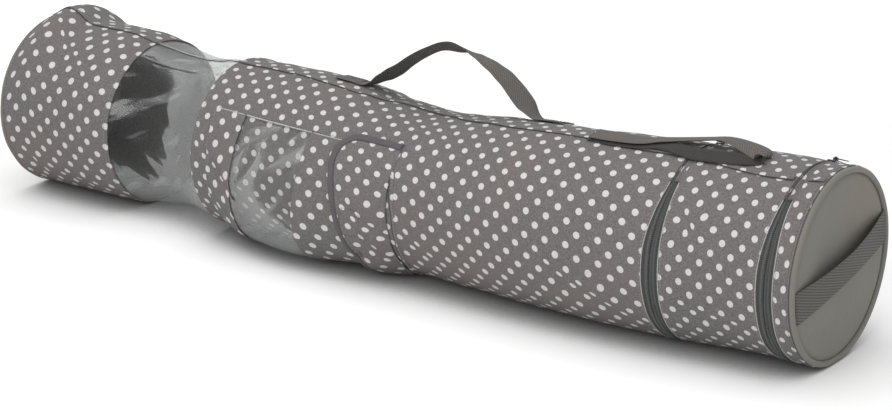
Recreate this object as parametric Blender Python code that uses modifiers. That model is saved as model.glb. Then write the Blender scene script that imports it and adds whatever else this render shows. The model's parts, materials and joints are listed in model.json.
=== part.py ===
"""Gift wrap organizer: a soft zipped tube bag that lies on its side.

The tube runs along X from its base end to its lid end. Stations are measured from the base end,
angles are measured up from the front (-Y) and over the top, and depths are measured inwards
from the outer skin. The origin is on the flattened underside, halfway along the tube.
"""
import math

import bmesh
import bpy
from mathutils import Matrix, Vector

# Tube, in metres
LENGTH = 1.065
RADIUS = 0.1016
FOOT = 0.003
FABRIC = 0.0018
VINYL = 0.0012
GAP = 0.0003
MERGE = 0.00001
ANGLE_STEP = 7.5
STATION_STEP = 0.050
POCKET_STEP = 0.010

# Stations of the seams, from the base end
SLEEVE_END = 0.168
WINDOW_LENGTH = 0.130
WINDOW_END = SLEEVE_END + WINDOW_LENGTH
LID_DEPTH = 0.032
SECTION_LENGTH = 0.124
ZIP_2_AT = LENGTH - LID_DEPTH
ZIP_1_AT = ZIP_2_AT - SECTION_LENGTH
SEAM_ANGLE = 67.5

# The soft shape that the tube takes when it lies on a floor
SLEEVE_PUFF = 0.014
SLEEVE_PUFF_AT = 0.040
SLEEVE_PUFF_REACH = 0.050
WINDOW_PINCH = 0.021
WINDOW_PINCH_BACK = 0.071
WINDOW_PINCH_AT = WINDOW_END - WINDOW_PINCH_BACK
WINDOW_PINCH_REACH = 0.095
WINDOW_SWAY = 0.020
WINDOW_SWAY_BACK = 0.066
WINDOW_SWAY_AT = WINDOW_END - WINDOW_SWAY_BACK
WINDOW_SWAY_REACH = 0.082
BODY_SAG = 0.0135
BODY_SAG_BACK = 0.379
BODY_SAG_AT = ZIP_1_AT - BODY_SAG_BACK
BODY_SAG_REACH = 0.370
SPREAD_SHARE = 0.2
PINCH_SHARE = 0.35
SWAY = 0.016
SWAY_BACK = 0.119
SWAY_AT = ZIP_1_AT - SWAY_BACK
SWAY_REACH = 0.265

# Zips
TAPE_WIDTH = 0.0185
TAPE = 0.0010
TAPE_SINK = 0.0004
COIL_RADIUS = 0.0014
COIL_SINK = 0.0006
ZIP_FRONT_ANGLE = 52.5
ZIP_BACK_ANGLE = 105.0
SLIDER_ANGLE = 110.5
SLIDER_WIDTH = 0.0085
SLIDER_LENGTH = 0.0110
SLIDER_PLATE = 0.0014
SLIDER_LIFT = 0.0008
SLIDER_BEVEL = 0.0004
BRIDGE_SPAN = 0.0046
BRIDGE_POST = 0.0012
BRIDGE_HEIGHT = 0.0030
PIN_RADIUS = 0.0006
PULL_WIDTH = 0.0052
PULL_LENGTH = 0.0200
PULL_THICKNESS = 0.0010
EYE_RADIUS = 0.0019
EYE_BORE = 0.0009
EYE_WIDTH = 0.0020

# Ends: piping, fabric disc, stiffening board
PIPING_RADIUS = 0.0032
DISC_SINK = 0.0030
BOARD = 0.0025
BOARD_MARGIN = 0.0006
DIVIDER = 0.0020
DIVIDER_SET_IN = 0.0100

# Raised fold of the long top seam
FOLD_WIDTH_ANGLE = 3.0
FOLD = 0.0010
FOLD_CLEAR = 0.0015
FOLD_BASE_ANGLE = 84.0
FOLD_TURN_FROM = 0.150
FOLD_TURN_TO = 0.750

# Bellows pocket on the front
POCKET_SET_IN = 0.027
POCKET_SIDE = 0.043
POCKET_WINDOW = 0.093
POCKET_FRONT = 0.082
POCKET_START = WINDOW_END + POCKET_SET_IN
POCKET_WINDOW_START = POCKET_START + POCKET_SIDE
POCKET_WINDOW_END = POCKET_WINDOW_START + POCKET_WINDOW
POCKET_MOUTH = POCKET_WINDOW_END + POCKET_FRONT
POCKET_TOP_ANGLE = 37.5
POCKET_LOW_ANGLE = -60.0
POCKET_RISE = 0.026
POCKET_MOUTH_RISE = 0.010
POCKET_FULL_FROM = 0.098
POCKET_FULL_AT = POCKET_START + POCKET_FULL_FROM
POCKET_BELLY_ANGLE = -30.0
POCKET_FABRIC = 0.0014
BINDING_WIDTH = 0.008

# Flap over the pocket mouth
FLAP_HINGE_BEYOND = 0.037
FLAP_HINGE = POCKET_MOUTH + FLAP_HINGE_BEYOND
FLAP_REACH = 0.078
FLAP_CORNER = 0.030
FLAP_SEAT = 0.0004
FLAP_FABRIC = 0.0014
FLAP_BINDING = 0.0022
PATCH = 0.0010
PATCH_LENGTH = 0.026
PATCH_SET_BACK = 0.001
PATCH_START = POCKET_MOUTH - BINDING_WIDTH - PATCH_SET_BACK - PATCH_LENGTH
PATCH_TOP_ANGLE = -7.5
PATCH_LOW_ANGLE = -22.5

# Webbing
WEBBING = 0.0016
ARCH_WIDTH = 0.026
ARCH_ANGLE = 99.0
ARCH_SPAN = 0.167
ARCH_BACK = 0.3255
ARCH_LEFT_FOOT = ZIP_1_AT - ARCH_BACK - ARCH_SPAN / 2
ARCH_RIGHT_FOOT = ARCH_LEFT_FOOT + ARCH_SPAN
ARCH_PIVOT_HEIGHT = 0.0155
ARCH_RISE = 0.045
ARCH_LAP = 0.004
ARCH_SHARES = [(0, 0), (0.045, 0.115), (0.09, 0.23), (0.135, 0.34), (0.18, 0.445), (0.24, 0.57),
               (0.30, 0.69), (0.36, 0.80), (0.42, 0.90), (0.485, 0.975), (0.55, 1), (0.61, 0.97),
               (0.67, 0.90), (0.735, 0.79), (0.80, 0.66), (0.845, 0.56), (0.89, 0.445),
               (0.925, 0.335), (0.96, 0.20), (0.985, 0.09), (1, 0)]
TAB_LENGTH = 0.044
TAB_STEPS = 5
LEFT_TAB_SLANT = 0.030
RIGHT_TAB_SLANT = 0.018
LOOP_BACK = 0.121
LOOP_BEYOND = 0.074
LOOP_LEFT = ZIP_1_AT - LOOP_BACK
LOOP_RIGHT = ZIP_1_AT + LOOP_BEYOND
LOOP_WIDTH = 0.020
LOOP_LEFT_ANGLE = 83.0
LOOP_RIGHT_ANGLE = 80.0
LOOP_SPREAD_ANGLE = 4.0
LOOP_LIFT = 0.0018
LOOP_ARCH = 0.0060
LOOP_FRONT_TILT = 42.0
LOOP_BACK_TILT = 24.0
LOOP_RUN_STEPS = 10
LOOP_END_STEPS = 8
LID_STRAP_WIDTH = 0.036
LID_STRAP_RISE = 0.012
LID_STRAP_SLOPE = 11.2
LID_STRAP_STEPS = 14

# Colours from the photograph
GREY_FABRIC = (0.150, 0.143, 0.132)
OLIVE_FABRIC = (0.125, 0.121, 0.098)
OLIVE_WEBBING = (0.080, 0.077, 0.066)
ZIP_GREY = (0.045, 0.052, 0.052)
BINDING_PURPLE = (0.068, 0.064, 0.072)
CLEAR_VINYL = (0.80, 0.82, 0.82)
BOARD_GREY = (0.45, 0.44, 0.42)
PATCH_GREY = (0.10, 0.10, 0.10)
SLIDER_METAL = (0.10, 0.10, 0.10)

parts = None


def clear_scene():
    for item in list(bpy.data.objects):
        bpy.data.objects.remove(item, do_unlink=True)


def bump(x, centre, reach):
    """A smooth rise from 0 to 1 and back to 0, centred on one station."""
    share = (x - centre) / reach
    if abs(share) >= 1:
        return 0.0
    return math.cos(share * math.pi / 2) ** 2


def faceted(exact, x, step):
    """A function drawn as straight runs between steps, so that layers share their facets."""
    low = math.floor(x / step) * step
    share = (x - low) / step
    return exact(low) * (1 - share) + exact(low + step) * share


def half_height_at(x):
    puff = SLEEVE_PUFF * bump(x, SLEEVE_PUFF_AT, SLEEVE_PUFF_REACH)
    pinch = WINDOW_PINCH * bump(x, WINDOW_PINCH_AT, WINDOW_PINCH_REACH)
    sag = BODY_SAG * bump(x, BODY_SAG_AT, BODY_SAG_REACH)
    return RADIUS + (puff - pinch - sag) / 2


def half_width_at(x):
    pinch = WINDOW_PINCH * bump(x, WINDOW_PINCH_AT, WINDOW_PINCH_REACH)
    sag = BODY_SAG * bump(x, BODY_SAG_AT, BODY_SAG_REACH)
    return RADIUS + SPREAD_SHARE * sag - PINCH_SHARE * pinch


def sway_at(x):
    """How far the tube curves to the back at its window and to the front at its mouth."""
    to_back = WINDOW_SWAY * bump(x, WINDOW_SWAY_AT, WINDOW_SWAY_REACH)
    return to_back - SWAY * bump(x, SWAY_AT, SWAY_REACH)


def half_sizes(x):
    """Half width and half height of the soft tube at a station."""
    return faceted(half_width_at, x, STATION_STEP), faceted(half_height_at, x, STATION_STEP)


def axis_point(x):
    """Centre of the tube at a station."""
    half_height = half_sizes(x)[1]
    return Vector((x - LENGTH / 2, faceted(sway_at, x, STATION_STEP), half_height - FOOT))


def on_bag(x, angle, depth):
    """Point at a station, an angle in degrees and a depth under the outer skin."""
    half_width, half_height = half_sizes(x)
    turn = math.radians(angle)
    centre = axis_point(x)
    y = centre.y - (half_width - depth) * math.cos(turn)
    z = centre.z + (half_height - depth) * math.sin(turn)
    return Vector((centre.x, y, max(z, depth)))


def outward(angle):
    """Direction square to the skin at an angle."""
    turn = math.radians(angle)
    return Vector((0, -math.cos(turn), math.sin(turn)))


def along_skin(angle):
    """Direction round the skin in which the angle grows."""
    turn = math.radians(angle)
    return Vector((0, math.sin(turn), math.cos(turn)))


def arc_angle(length):
    """Angle that a length takes up round the tube."""
    return math.degrees(length / RADIUS)


def new_object(name, mesh, colour, roughness=0.85, metallic=0.0, alpha=1.0):
    """Link an object and give it a material of its own."""
    item = bpy.data.objects.new(name, mesh)
    parts.objects.link(item)
    material = bpy.data.materials.new(name + "_finish")
    material.use_nodes = True
    shader = material.node_tree.nodes["Principled BSDF"]
    shader.inputs["Base Color"].default_value = (*colour, 1)
    shader.inputs["Roughness"].default_value = roughness
    shader.inputs["Metallic"].default_value = metallic
    shader.inputs["Alpha"].default_value = alpha
    item.data.materials.append(material)
    return item


def smooth(item, sharp_from=40):
    """Round pieces are shaded smooth, with their edges kept sharp."""
    item.data.shade_smooth()
    item.data.set_sharp_from_angle(angle=math.radians(sharp_from))


def thicken(item, thickness):
    """Give an open sheet its thickness on the side away from its face normals."""
    wall = item.modifiers.new("Thickness", "SOLIDIFY")
    wall.thickness = thickness
    wall.offset = -1
    wall.use_even_offset = True
    wall.use_quality_normals = True


def sheet(name, columns, rows, place, facing, thickness, colour, skip=None, **finish):
    """A grid of columns and rows put in place by a function, then thickened.

    place(a, b) takes two shares from 0 to 1; facing is a point on the back of the sheet,
    or a function of a point that gives one.
    """
    bm = bmesh.new()
    bmesh.ops.create_grid(bm, x_segments=columns, y_segments=rows, size=1)
    if skip:
        holes = []
        for face in bm.faces:
            middle = face.calc_center_median()
            if skip((middle.x + 1) / 2, (middle.y + 1) / 2):
                holes.append(face)
        bmesh.ops.delete(bm, geom=holes, context="FACES")
    for vert in bm.verts:
        vert.co = place((vert.co.x + 1) / 2, (vert.co.y + 1) / 2)
    bmesh.ops.remove_doubles(bm, verts=bm.verts, dist=MERGE)
    bm.normal_update()
    first = max(bm.faces, key=lambda face: face.calc_area())
    middle = first.calc_center_median()
    back = facing(middle) if callable(facing) else facing
    if first.normal.dot(middle - back) < 0:
        bmesh.ops.reverse_faces(bm, faces=bm.faces)
    mesh = bpy.data.meshes.new(name)
    bm.to_mesh(mesh)
    bm.free()
    item = new_object(name, mesh, colour, **finish)
    thicken(item, thickness)
    smooth(item)
    return item


def inside(point):
    """Centre of the tube behind a point of its skin."""
    return axis_point(point.x + LENGTH / 2)


def angle_rows(low, high):
    return max(1, round((high - low) / ANGLE_STEP))


def stations(start, end, step):
    """Both ends of a stretch and every whole step between them."""
    first = math.floor(start / step) + 1
    last = math.ceil(end / step) - 1
    inner = [index * step for index in range(first, last + 1)]
    return [start] + [x for x in inner if start + GAP < x < end - GAP] + [end]


def wrap(name, route, low, high, thickness, colour, depth=0.0, lift=None, **more):
    """A sheet laid on the bag along a route of stations, between two angles."""
    count = len(route) - 1

    def place(a, b):
        x = route[round(a * count)]
        angle = low + (high - low) * b
        extra = lift(x, angle) if lift else 0.0
        return on_bag(x, angle, depth - extra)
    return sheet(name, count, angle_rows(low, high), place, inside, thickness, colour, **more)


def ring(name, start, end, thickness, colour, **more):
    """A sheet that goes all the way round the bag."""
    route = stations(start, end, STATION_STEP)
    return wrap(name, route, SEAM_ANGLE, SEAM_ANGLE + 360, thickness, colour, **more)


def disc(name, x, margin, thickness, inwards, colour, **more):
    """A flat round end whose rim lies at a depth under the skin, thickened inwards."""
    middle = axis_point(x)
    back = middle + Vector((inwards * thickness, 0, 0))

    def place(a, b):
        return middle.lerp(on_bag(x, 360 * b, margin), a)
    return sheet(name, 1, round(360 / ANGLE_STEP), place, back, thickness, colour, **more)


def ring_tube(name, x, low, high, depth, radius, colour, sides=1, **more):
    """A round bead that follows the skin between two angles."""
    curve = bpy.data.curves.new(name, "CURVE")
    curve.dimensions = "3D"
    curve.bevel_depth = radius
    curve.bevel_resolution = sides
    closed = high - low >= 360
    steps = angle_rows(low, high)
    spline = curve.splines.new("POLY")
    spline.points.add(steps - 1 if closed else steps)
    for index, point in enumerate(spline.points):
        angle = low + (high - low) * index / steps
        spot = on_bag(x, angle, depth)
        point.co = (spot.x, spot.y, max(spot.z, radius), 1)
    spline.use_cyclic_u = closed
    curve.use_fill_caps = not closed
    return new_object(name, curve, colour, **more)


def move_origin(item, point):
    """Put an object's origin on its joint's axis without moving its mesh."""
    item.data.transform(Matrix.Translation(-point))
    item.location = point


def skin_frame(x, angle, height):
    """Matrix whose axes run along the tube, round the skin and outwards."""
    out = outward(angle)
    round_skin = along_skin(angle)
    spot = on_bag(x, angle, -height)
    matrix = Matrix((Vector((1, 0, 0)), round_skin, out)).transposed().to_4x4()
    matrix.translation = spot
    return matrix


def box_mesh(name, size, centre, bevel=0.0):
    """A box with rounded edges, as a mesh in its own frame."""
    bm = bmesh.new()
    bmesh.ops.create_cube(bm, size=1)
    for vert in bm.verts:
        vert.co = Vector((vert.co.x * size[0], vert.co.y * size[1], vert.co.z * size[2])) + centre
    if bevel:
        bmesh.ops.bevel(bm, geom=bm.edges, offset=bevel, segments=1, affect="EDGES")
    mesh = bpy.data.meshes.new(name)
    bm.to_mesh(mesh)
    bm.free()
    return mesh


def join_into(item, mesh):
    """Add a second shape to an object with a Boolean union, and keep one body."""
    other = bpy.data.objects.new(item.name + "_tool", mesh)
    parts.objects.link(other)
    other.matrix_world = item.matrix_world
    cut = item.modifiers.new("Join", "BOOLEAN")
    cut.operation = "UNION"
    cut.solver = "EXACT"
    cut.object = other
    bake(item)
    bpy.data.objects.remove(other)


def bake(item):
    """Apply an object's modifiers."""
    bpy.context.view_layer.update()
    graph = bpy.context.evaluated_depsgraph_get()
    mesh = bpy.data.meshes.new_from_object(item.evaluated_get(graph))
    item.modifiers.clear()
    item.data = mesh


# Tube


def base_end():
    piping_at = PIPING_RADIUS
    ring_tube("base_piping", piping_at, 0, 360, PIPING_RADIUS, PIPING_RADIUS, OLIVE_FABRIC)
    rim = 2 * PIPING_RADIUS + GAP
    disc("base_disc", DISC_SINK, rim, FABRIC, 1, OLIVE_FABRIC)
    board_at = 2 * PIPING_RADIUS + GAP
    disc("base_board", board_at, FABRIC + BOARD_MARGIN, BOARD, 1, BOARD_GREY)


def tube():
    sleeve_start = 2 * PIPING_RADIUS + GAP
    ring("base_sleeve", sleeve_start, SLEEVE_END, FABRIC, GREY_FABRIC)
    ring("roll_window", SLEEVE_END + GAP, WINDOW_END - GAP, VINYL, CLEAR_VINYL,
         roughness=0.1, alpha=0.3)
    ring("body_panel", WINDOW_END, FLAP_HINGE, FABRIC, GREY_FABRIC)
    start = FLAP_HINGE + GAP
    edge = ZIP_1_AT - TAPE_WIDTH / 2
    tongued_panel("body_mouth_panel", None, start, edge, ZIP_1_AT - GAP / 2, GREY_FABRIC)
    top_seam("top_seam", sleeve_start, ZIP_1_AT - FOLD_CLEAR)


def in_zip(angle):
    """Whether an angle lies in the zip's arc and not in the uncut hinge."""
    return not ZIP_FRONT_ANGLE < angle % 360 < ZIP_BACK_ANGLE


def tongued_panel(name, start_tongue, start, end, end_tongue, colour):
    """A fabric ring that reaches the zips' hinge lines only between the zips' two ends."""
    route = stations(start, end, STATION_STEP)
    if start_tongue:
        route.insert(0, start_tongue)
    if end_tongue:
        route.append(end_tongue)
    count = len(route) - 1

    def skip(a, b):
        cell = int(a * count)
        at_start = start_tongue and cell == 0
        at_end = end_tongue and cell == count - 1
        return (at_start or at_end) and in_zip(SEAM_ANGLE + 360 * b)
    wrap(name, route, SEAM_ANGLE, SEAM_ANGLE + 360, FABRIC, colour, skip=skip)


def fold_angle(x):
    """Angle at which the top seam runs: it comes down to the front towards the lid."""
    share = (x - FOLD_TURN_FROM) / (FOLD_TURN_TO - FOLD_TURN_FROM)
    share = min(1.0, max(0.0, share))
    return FOLD_BASE_ANGLE + (SEAM_ANGLE - FOLD_BASE_ANGLE) * share


def top_seam(name, start, end):
    """Raised fold that runs along the top of the fabric."""
    route = stations(start, end, STATION_STEP)
    count = len(route) - 1

    def place(a, b):
        x = route[round(a * count)]
        return on_bag(x, fold_angle(x) + FOLD_WIDTH_ANGLE * b, -GAP - FOLD)
    sheet(name, count, 1, place, inside, FOLD, GREY_FABRIC)


# Zips


def zip_half(name, centre, side):
    """One tape and its row of teeth; side is -1 towards the base and 1 towards the lid."""
    teeth = centre + side * (GAP / 2 + COIL_RADIUS)
    inner = centre + side * (GAP / 2 + 2 * COIL_RADIUS + GAP)
    outer = centre + side * (TAPE_WIDTH / 2 - GAP)
    low = ZIP_BACK_ANGLE
    high = ZIP_FRONT_ANGLE + 360
    margin = arc_angle(GAP)
    route = sorted((inner, outer))
    wrap(name + "_tape", route, low + margin, high - margin, TAPE, ZIP_GREY, depth=TAPE_SINK)
    ring_tube(name + "_teeth", teeth, low + 2 * margin, high - 2 * margin, COIL_SINK,
              COIL_RADIUS, ZIP_GREY, sides=0, roughness=0.5)


def slider(name, pull_name, x):
    """Zip slider with its bridge, and the pull that swings on the bridge's pin."""
    lift = COIL_RADIUS - COIL_SINK + SLIDER_LIFT
    frame = skin_frame(x, SLIDER_ANGLE, lift)
    size = (SLIDER_WIDTH, SLIDER_LENGTH, SLIDER_PLATE)
    plate = box_mesh(name, size, Vector((0, 0, SLIDER_PLATE / 2)), SLIDER_BEVEL)
    item = new_object(name, plate, SLIDER_METAL, roughness=0.35, metallic=0.9)
    overlap = SLIDER_PLATE / 2
    for side in (-1, 1):
        centre = Vector((side * BRIDGE_SPAN / 2, 0, SLIDER_PLATE + (BRIDGE_HEIGHT - overlap) / 2))
        post = (BRIDGE_POST, BRIDGE_POST, BRIDGE_HEIGHT + overlap)
        join_into(item, box_mesh(name + "_post", post, centre))
    pin_height = SLIDER_PLATE + BRIDGE_HEIGHT - PIN_RADIUS
    join_into(item, pin_mesh(name + "_pin", BRIDGE_SPAN, PIN_RADIUS, pin_height))
    item.data.transform(frame)
    move_origin(item, axis_point(x))
    pull(pull_name, frame, pin_height)


def pin_mesh(name, length, radius, height, sides=10):
    """A short round bar along the tube's direction."""
    bm = bmesh.new()
    bmesh.ops.create_cone(bm, cap_ends=True, segments=sides, radius1=radius, radius2=radius,
                          depth=length)
    turn = Matrix.Rotation(math.pi / 2, 4, "Y")
    bmesh.ops.transform(bm, matrix=Matrix.Translation((0, 0, height)) @ turn, verts=bm.verts)
    mesh = bpy.data.meshes.new(name)
    bm.to_mesh(mesh)
    bm.free()
    return mesh


def pull(name, frame, pin_height):
    """Flat pull whose eye goes round the slider's pin, lying down the back of the bag."""
    item = new_object(name, pin_mesh(name, EYE_WIDTH, EYE_RADIUS, pin_height, 16), SLIDER_METAL,
                      roughness=0.35, metallic=0.9)
    start = (EYE_BORE + EYE_RADIUS) / 2
    size = (PULL_WIDTH, PULL_LENGTH, PULL_THICKNESS)
    neck = (EYE_WIDTH, PULL_LENGTH / 2, PULL_THICKNESS)
    neck_centre = Vector((0, start + PULL_LENGTH / 4, pin_height))
    join_into(item, box_mesh(name + "_neck", neck, neck_centre))
    clear = SLIDER_LENGTH / 2
    plate_centre = Vector((0, clear + PULL_LENGTH / 2, pin_height))
    join_into(item, box_mesh(name + "_plate", size, plate_centre, PULL_THICKNESS / 4))
    bore = bpy.data.objects.new(name + "_bore", pin_mesh(name + "_bore", PULL_LENGTH, EYE_BORE,
                                                         pin_height))
    parts.objects.link(bore)
    cut = item.modifiers.new("Bore", "BOOLEAN")
    cut.operation = "DIFFERENCE"
    cut.solver = "EXACT"
    cut.object = bore
    bake(item)
    bpy.data.objects.remove(bore)
    item.data.transform(frame)
    move_origin(item, frame @ Vector((0, 0, pin_height)))


def zips():
    zip_half("zip_1_body", ZIP_1_AT, -1)
    zip_half("zip_1_section", ZIP_1_AT, 1)
    zip_half("zip_2_section", ZIP_2_AT, -1)
    zip_half("zip_2_lid", ZIP_2_AT, 1)
    slider("zip_1_slider", "zip_1_pull", ZIP_1_AT)
    slider("zip_2_slider", "zip_2_pull", ZIP_2_AT)


# Ribbon section and lid


def ribbon_section():
    half = TAPE_WIDTH / 2
    start = ZIP_1_AT + GAP / 2
    end = ZIP_2_AT - GAP / 2
    tongued_panel("section_panel", start, ZIP_1_AT + half, ZIP_2_AT - half, end, GREY_FABRIC)
    top_seam("section_seam", ZIP_1_AT + FOLD_CLEAR, ZIP_2_AT - FOLD_CLEAR)
    divider_at = ZIP_1_AT + DIVIDER_SET_IN
    disc("section_divider", divider_at, FABRIC + BOARD_MARGIN, DIVIDER, 1, BOARD_GREY)


def lid():
    half = TAPE_WIDTH / 2
    piping_at = LENGTH - PIPING_RADIUS
    band_end = LENGTH - 2 * PIPING_RADIUS - GAP
    start = ZIP_2_AT + GAP / 2
    tongued_panel("lid_band", start, ZIP_2_AT + half, band_end, None, GREY_FABRIC)
    top_seam("lid_seam", ZIP_2_AT + FOLD_CLEAR, band_end)
    ring_tube("lid_piping", piping_at, 0, 360, PIPING_RADIUS, PIPING_RADIUS, OLIVE_FABRIC)
    rim = 2 * PIPING_RADIUS + GAP
    disc_at = LENGTH - DISC_SINK
    disc("lid_disc", disc_at, rim, FABRIC, -1, OLIVE_FABRIC)
    board_at = LENGTH - 2 * PIPING_RADIUS - GAP
    disc("lid_board", board_at, FABRIC + BOARD_MARGIN, BOARD, -1, BOARD_GREY)
    lid_strap()


# Pocket


def pocket_rise(x, angle):
    """How far the bellows pocket stands off the bag at a station and an angle."""
    return faceted(lambda station: pocket_belly(station, angle), x, POCKET_STEP)


def pocket_belly(x, angle):
    """The pocket's true swell, fullest low on its front."""
    x = min(POCKET_MOUTH, max(POCKET_START, x))
    if x < POCKET_FULL_AT:
        share = (x - POCKET_START) / (POCKET_FULL_AT - POCKET_START)
        rise = POCKET_RISE * math.sin(share * math.pi / 2)
    else:
        share = (x - POCKET_FULL_AT) / (POCKET_MOUTH - POCKET_FULL_AT)
        ease = (1 - math.cos(share * math.pi)) / 2
        rise = POCKET_RISE + (POCKET_MOUTH_RISE - POCKET_RISE) * ease
    if angle > POCKET_BELLY_ANGLE:
        fall = (angle - POCKET_BELLY_ANGLE) / (POCKET_TOP_ANGLE - POCKET_BELLY_ANGLE)
        return rise * math.cos(fall * math.pi / 2) ** 2
    fall = (angle - POCKET_BELLY_ANGLE) / (POCKET_LOW_ANGLE - POCKET_BELLY_ANGLE)
    return rise * math.cos(fall * math.pi / 2)


def pocket_panel(name, start, end, thickness, colour, **more):
    route = stations(start, end, POCKET_STEP)
    wrap(name, route, POCKET_LOW_ANGLE, POCKET_TOP_ANGLE, thickness, colour,
         depth=-GAP - thickness, lift=pocket_rise, **more)


def pocket():
    pocket_panel("pocket_side", POCKET_START, POCKET_WINDOW_START - GAP, POCKET_FABRIC,
                 GREY_FABRIC)
    pocket_panel("pocket_window", POCKET_WINDOW_START, POCKET_WINDOW_END - GAP, VINYL,
                 CLEAR_VINYL, roughness=0.1, alpha=0.3)
    panel_end = POCKET_MOUTH - BINDING_WIDTH
    pocket_panel("pocket_front", POCKET_WINDOW_END, panel_end - GAP, POCKET_FABRIC,
                 GREY_FABRIC)
    pocket_panel("pocket_mouth_binding", panel_end, POCKET_MOUTH, FLAP_BINDING,
                 BINDING_PURPLE)


def patch(name, height, colour):
    """Square of hook or loop tape between the flap and the pocket."""
    route = stations(PATCH_START, PATCH_START + PATCH_LENGTH, POCKET_STEP)
    return wrap(name, route, PATCH_LOW_ANGLE, PATCH_TOP_ANGLE, PATCH, colour,
                depth=-height - PATCH, lift=pocket_rise)


def flap_lift(x, angle):
    """The flap lies on the pocket and comes down to the bag at its hinge."""
    stack = POCKET_FABRIC + 2 * PATCH + 6 * GAP
    over_pocket = pocket_rise(min(x, POCKET_MOUTH), angle) + stack
    share = min(1.0, max(0.0, (FLAP_HINGE - x) / (FLAP_HINGE - POCKET_MOUTH)))
    ease = math.sin(share * math.pi / 2)
    return FLAP_SEAT + (over_pocket - FLAP_SEAT) * ease


def flap_edge(angle, inset):
    """Station of the flap's free edge at an angle, with rounded corners."""
    middle = (POCKET_TOP_ANGLE + POCKET_LOW_ANGLE) / 2
    half = math.radians((POCKET_TOP_ANGLE - POCKET_LOW_ANGLE) / 2) * RADIUS - inset
    corner = FLAP_CORNER - inset
    reach = FLAP_REACH - inset
    beyond = abs(math.radians(angle - middle)) * RADIUS - (half - corner)
    if beyond > 0:
        share = min(1.0, beyond / corner)
        reach -= corner * (1 - math.sqrt(1 - share * share))
    return FLAP_HINGE - reach


def flap():
    """Flap panel, the binding round its three free edges and its hook patch."""
    inset = BINDING_WIDTH + 2 * GAP
    low = POCKET_LOW_ANGLE + arc_angle(inset)
    high = POCKET_TOP_ANGLE - arc_angle(inset)

    def place(a, b):
        angle = low + (high - low) * b
        edge = flap_edge(angle, inset)
        x = FLAP_HINGE - GAP - (FLAP_HINGE - GAP - edge) * a
        return on_bag(x, angle, -flap_lift(x, angle) - FLAP_FABRIC)
    item = sheet("flap_panel", 8, 16, place, inside, FLAP_FABRIC, GREY_FABRIC)
    move_origin(item, flap_axis())
    flap_binding()


def flap_axis():
    """Middle of the flap's hinge line, on the skin."""
    middle = (POCKET_TOP_ANGLE + POCKET_LOW_ANGLE) / 2
    return on_bag(FLAP_HINGE, middle, -FLAP_SEAT - FLAP_BINDING)


def binding_route(inset):
    """Points of the flap's outline, from its top hinge end round to its low hinge end."""
    margin = arc_angle(inset)
    high = POCKET_TOP_ANGLE - margin
    low = POCKET_LOW_ANGLE + margin
    corner = FLAP_CORNER - inset
    corner_angle = arc_angle(corner)
    edge = FLAP_HINGE - FLAP_REACH + inset
    turn_steps = 5
    run_steps = 5
    route = []
    for index in range(run_steps):
        x = FLAP_HINGE - GAP + (edge + corner - FLAP_HINGE + GAP) * index / run_steps
        route.append((x, high))
    for index in range(turn_steps):
        turn = math.pi / 2 * index / turn_steps
        route.append((edge + corner - corner * math.sin(turn),
                      high - corner_angle * (1 - math.cos(turn))))
    side_steps = 10
    side_high = high - corner_angle
    side_low = low + corner_angle
    for index in range(side_steps + 1):
        route.append((edge, side_high + (side_low - side_high) * index / side_steps))
    half = route[:turn_steps + run_steps]
    middle = (high + low) / 2
    for x, angle in reversed(half):
        route.append((x, 2 * middle - angle))
    return route


def flap_binding():
    outer = binding_route(0)
    inner = binding_route(BINDING_WIDTH - GAP)
    count = len(outer) - 1

    def place(a, b):
        index = round(a * count)
        x = outer[index][0] + (inner[index][0] - outer[index][0]) * b
        angle = outer[index][1] + (inner[index][1] - outer[index][1]) * b
        return on_bag(x, angle, -flap_lift(x, angle) - FLAP_BINDING)
    item = sheet("flap_binding", count, 1, place, inside, FLAP_BINDING, BINDING_PURPLE)
    move_origin(item, flap_axis())


# Webbing


def strip(name, points, sideways, width, thickness, back, colour, closed=False):
    """Webbing that follows points, with a width direction at each."""
    count = len(points) if closed else len(points) - 1

    def place(a, b):
        index = round(a * count) % len(points)
        return points[index] + sideways[index] * (width * (b - 1 / 2))
    return sheet(name, count, 1, place, back, thickness, colour)


def crest_height(x, angle):
    return on_bag(x, angle, 0).z


def arch_pivot():
    """Middle of the line that the arch handle swings about."""
    middle = (ARCH_LEFT_FOOT + ARCH_RIGHT_FOOT) / 2
    spot = on_bag(middle, ARCH_ANGLE, 0)
    top = max(crest_height(ARCH_LEFT_FOOT, ARCH_ANGLE), crest_height(ARCH_RIGHT_FOOT, ARCH_ANGLE))
    return Vector((spot.x, arch_offset(), top + ARCH_PIVOT_HEIGHT))


def arch_offset():
    """How far behind the middle the arch handle stands."""
    return on_bag(ARCH_LEFT_FOOT, ARCH_ANGLE, 0).y


def arch_handle():
    """The standing part of the carrying handle, which swings to either side."""
    pivot = arch_pivot()
    half_span = (ARCH_RIGHT_FOOT - ARCH_LEFT_FOOT) / 2 - GAP
    points = [pivot + Vector((-half_span, 0, -ARCH_LAP))]
    for along, up in ARCH_SHARES:
        x = half_span * (2 * along - 1)
        points.append(pivot + Vector((x, 0, ARCH_LAP + (ARCH_RISE - ARCH_LAP) * up)))
    points.append(pivot + Vector((half_span, 0, -ARCH_LAP)))
    sideways = [Vector((0, 1, 0))] * len(points)
    back = pivot + Vector((0, 0, -ARCH_LAP))
    item = strip("arch_handle", points, sideways, ARCH_WIDTH, WEBBING, back, OLIVE_WEBBING)
    move_origin(item, pivot)


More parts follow.
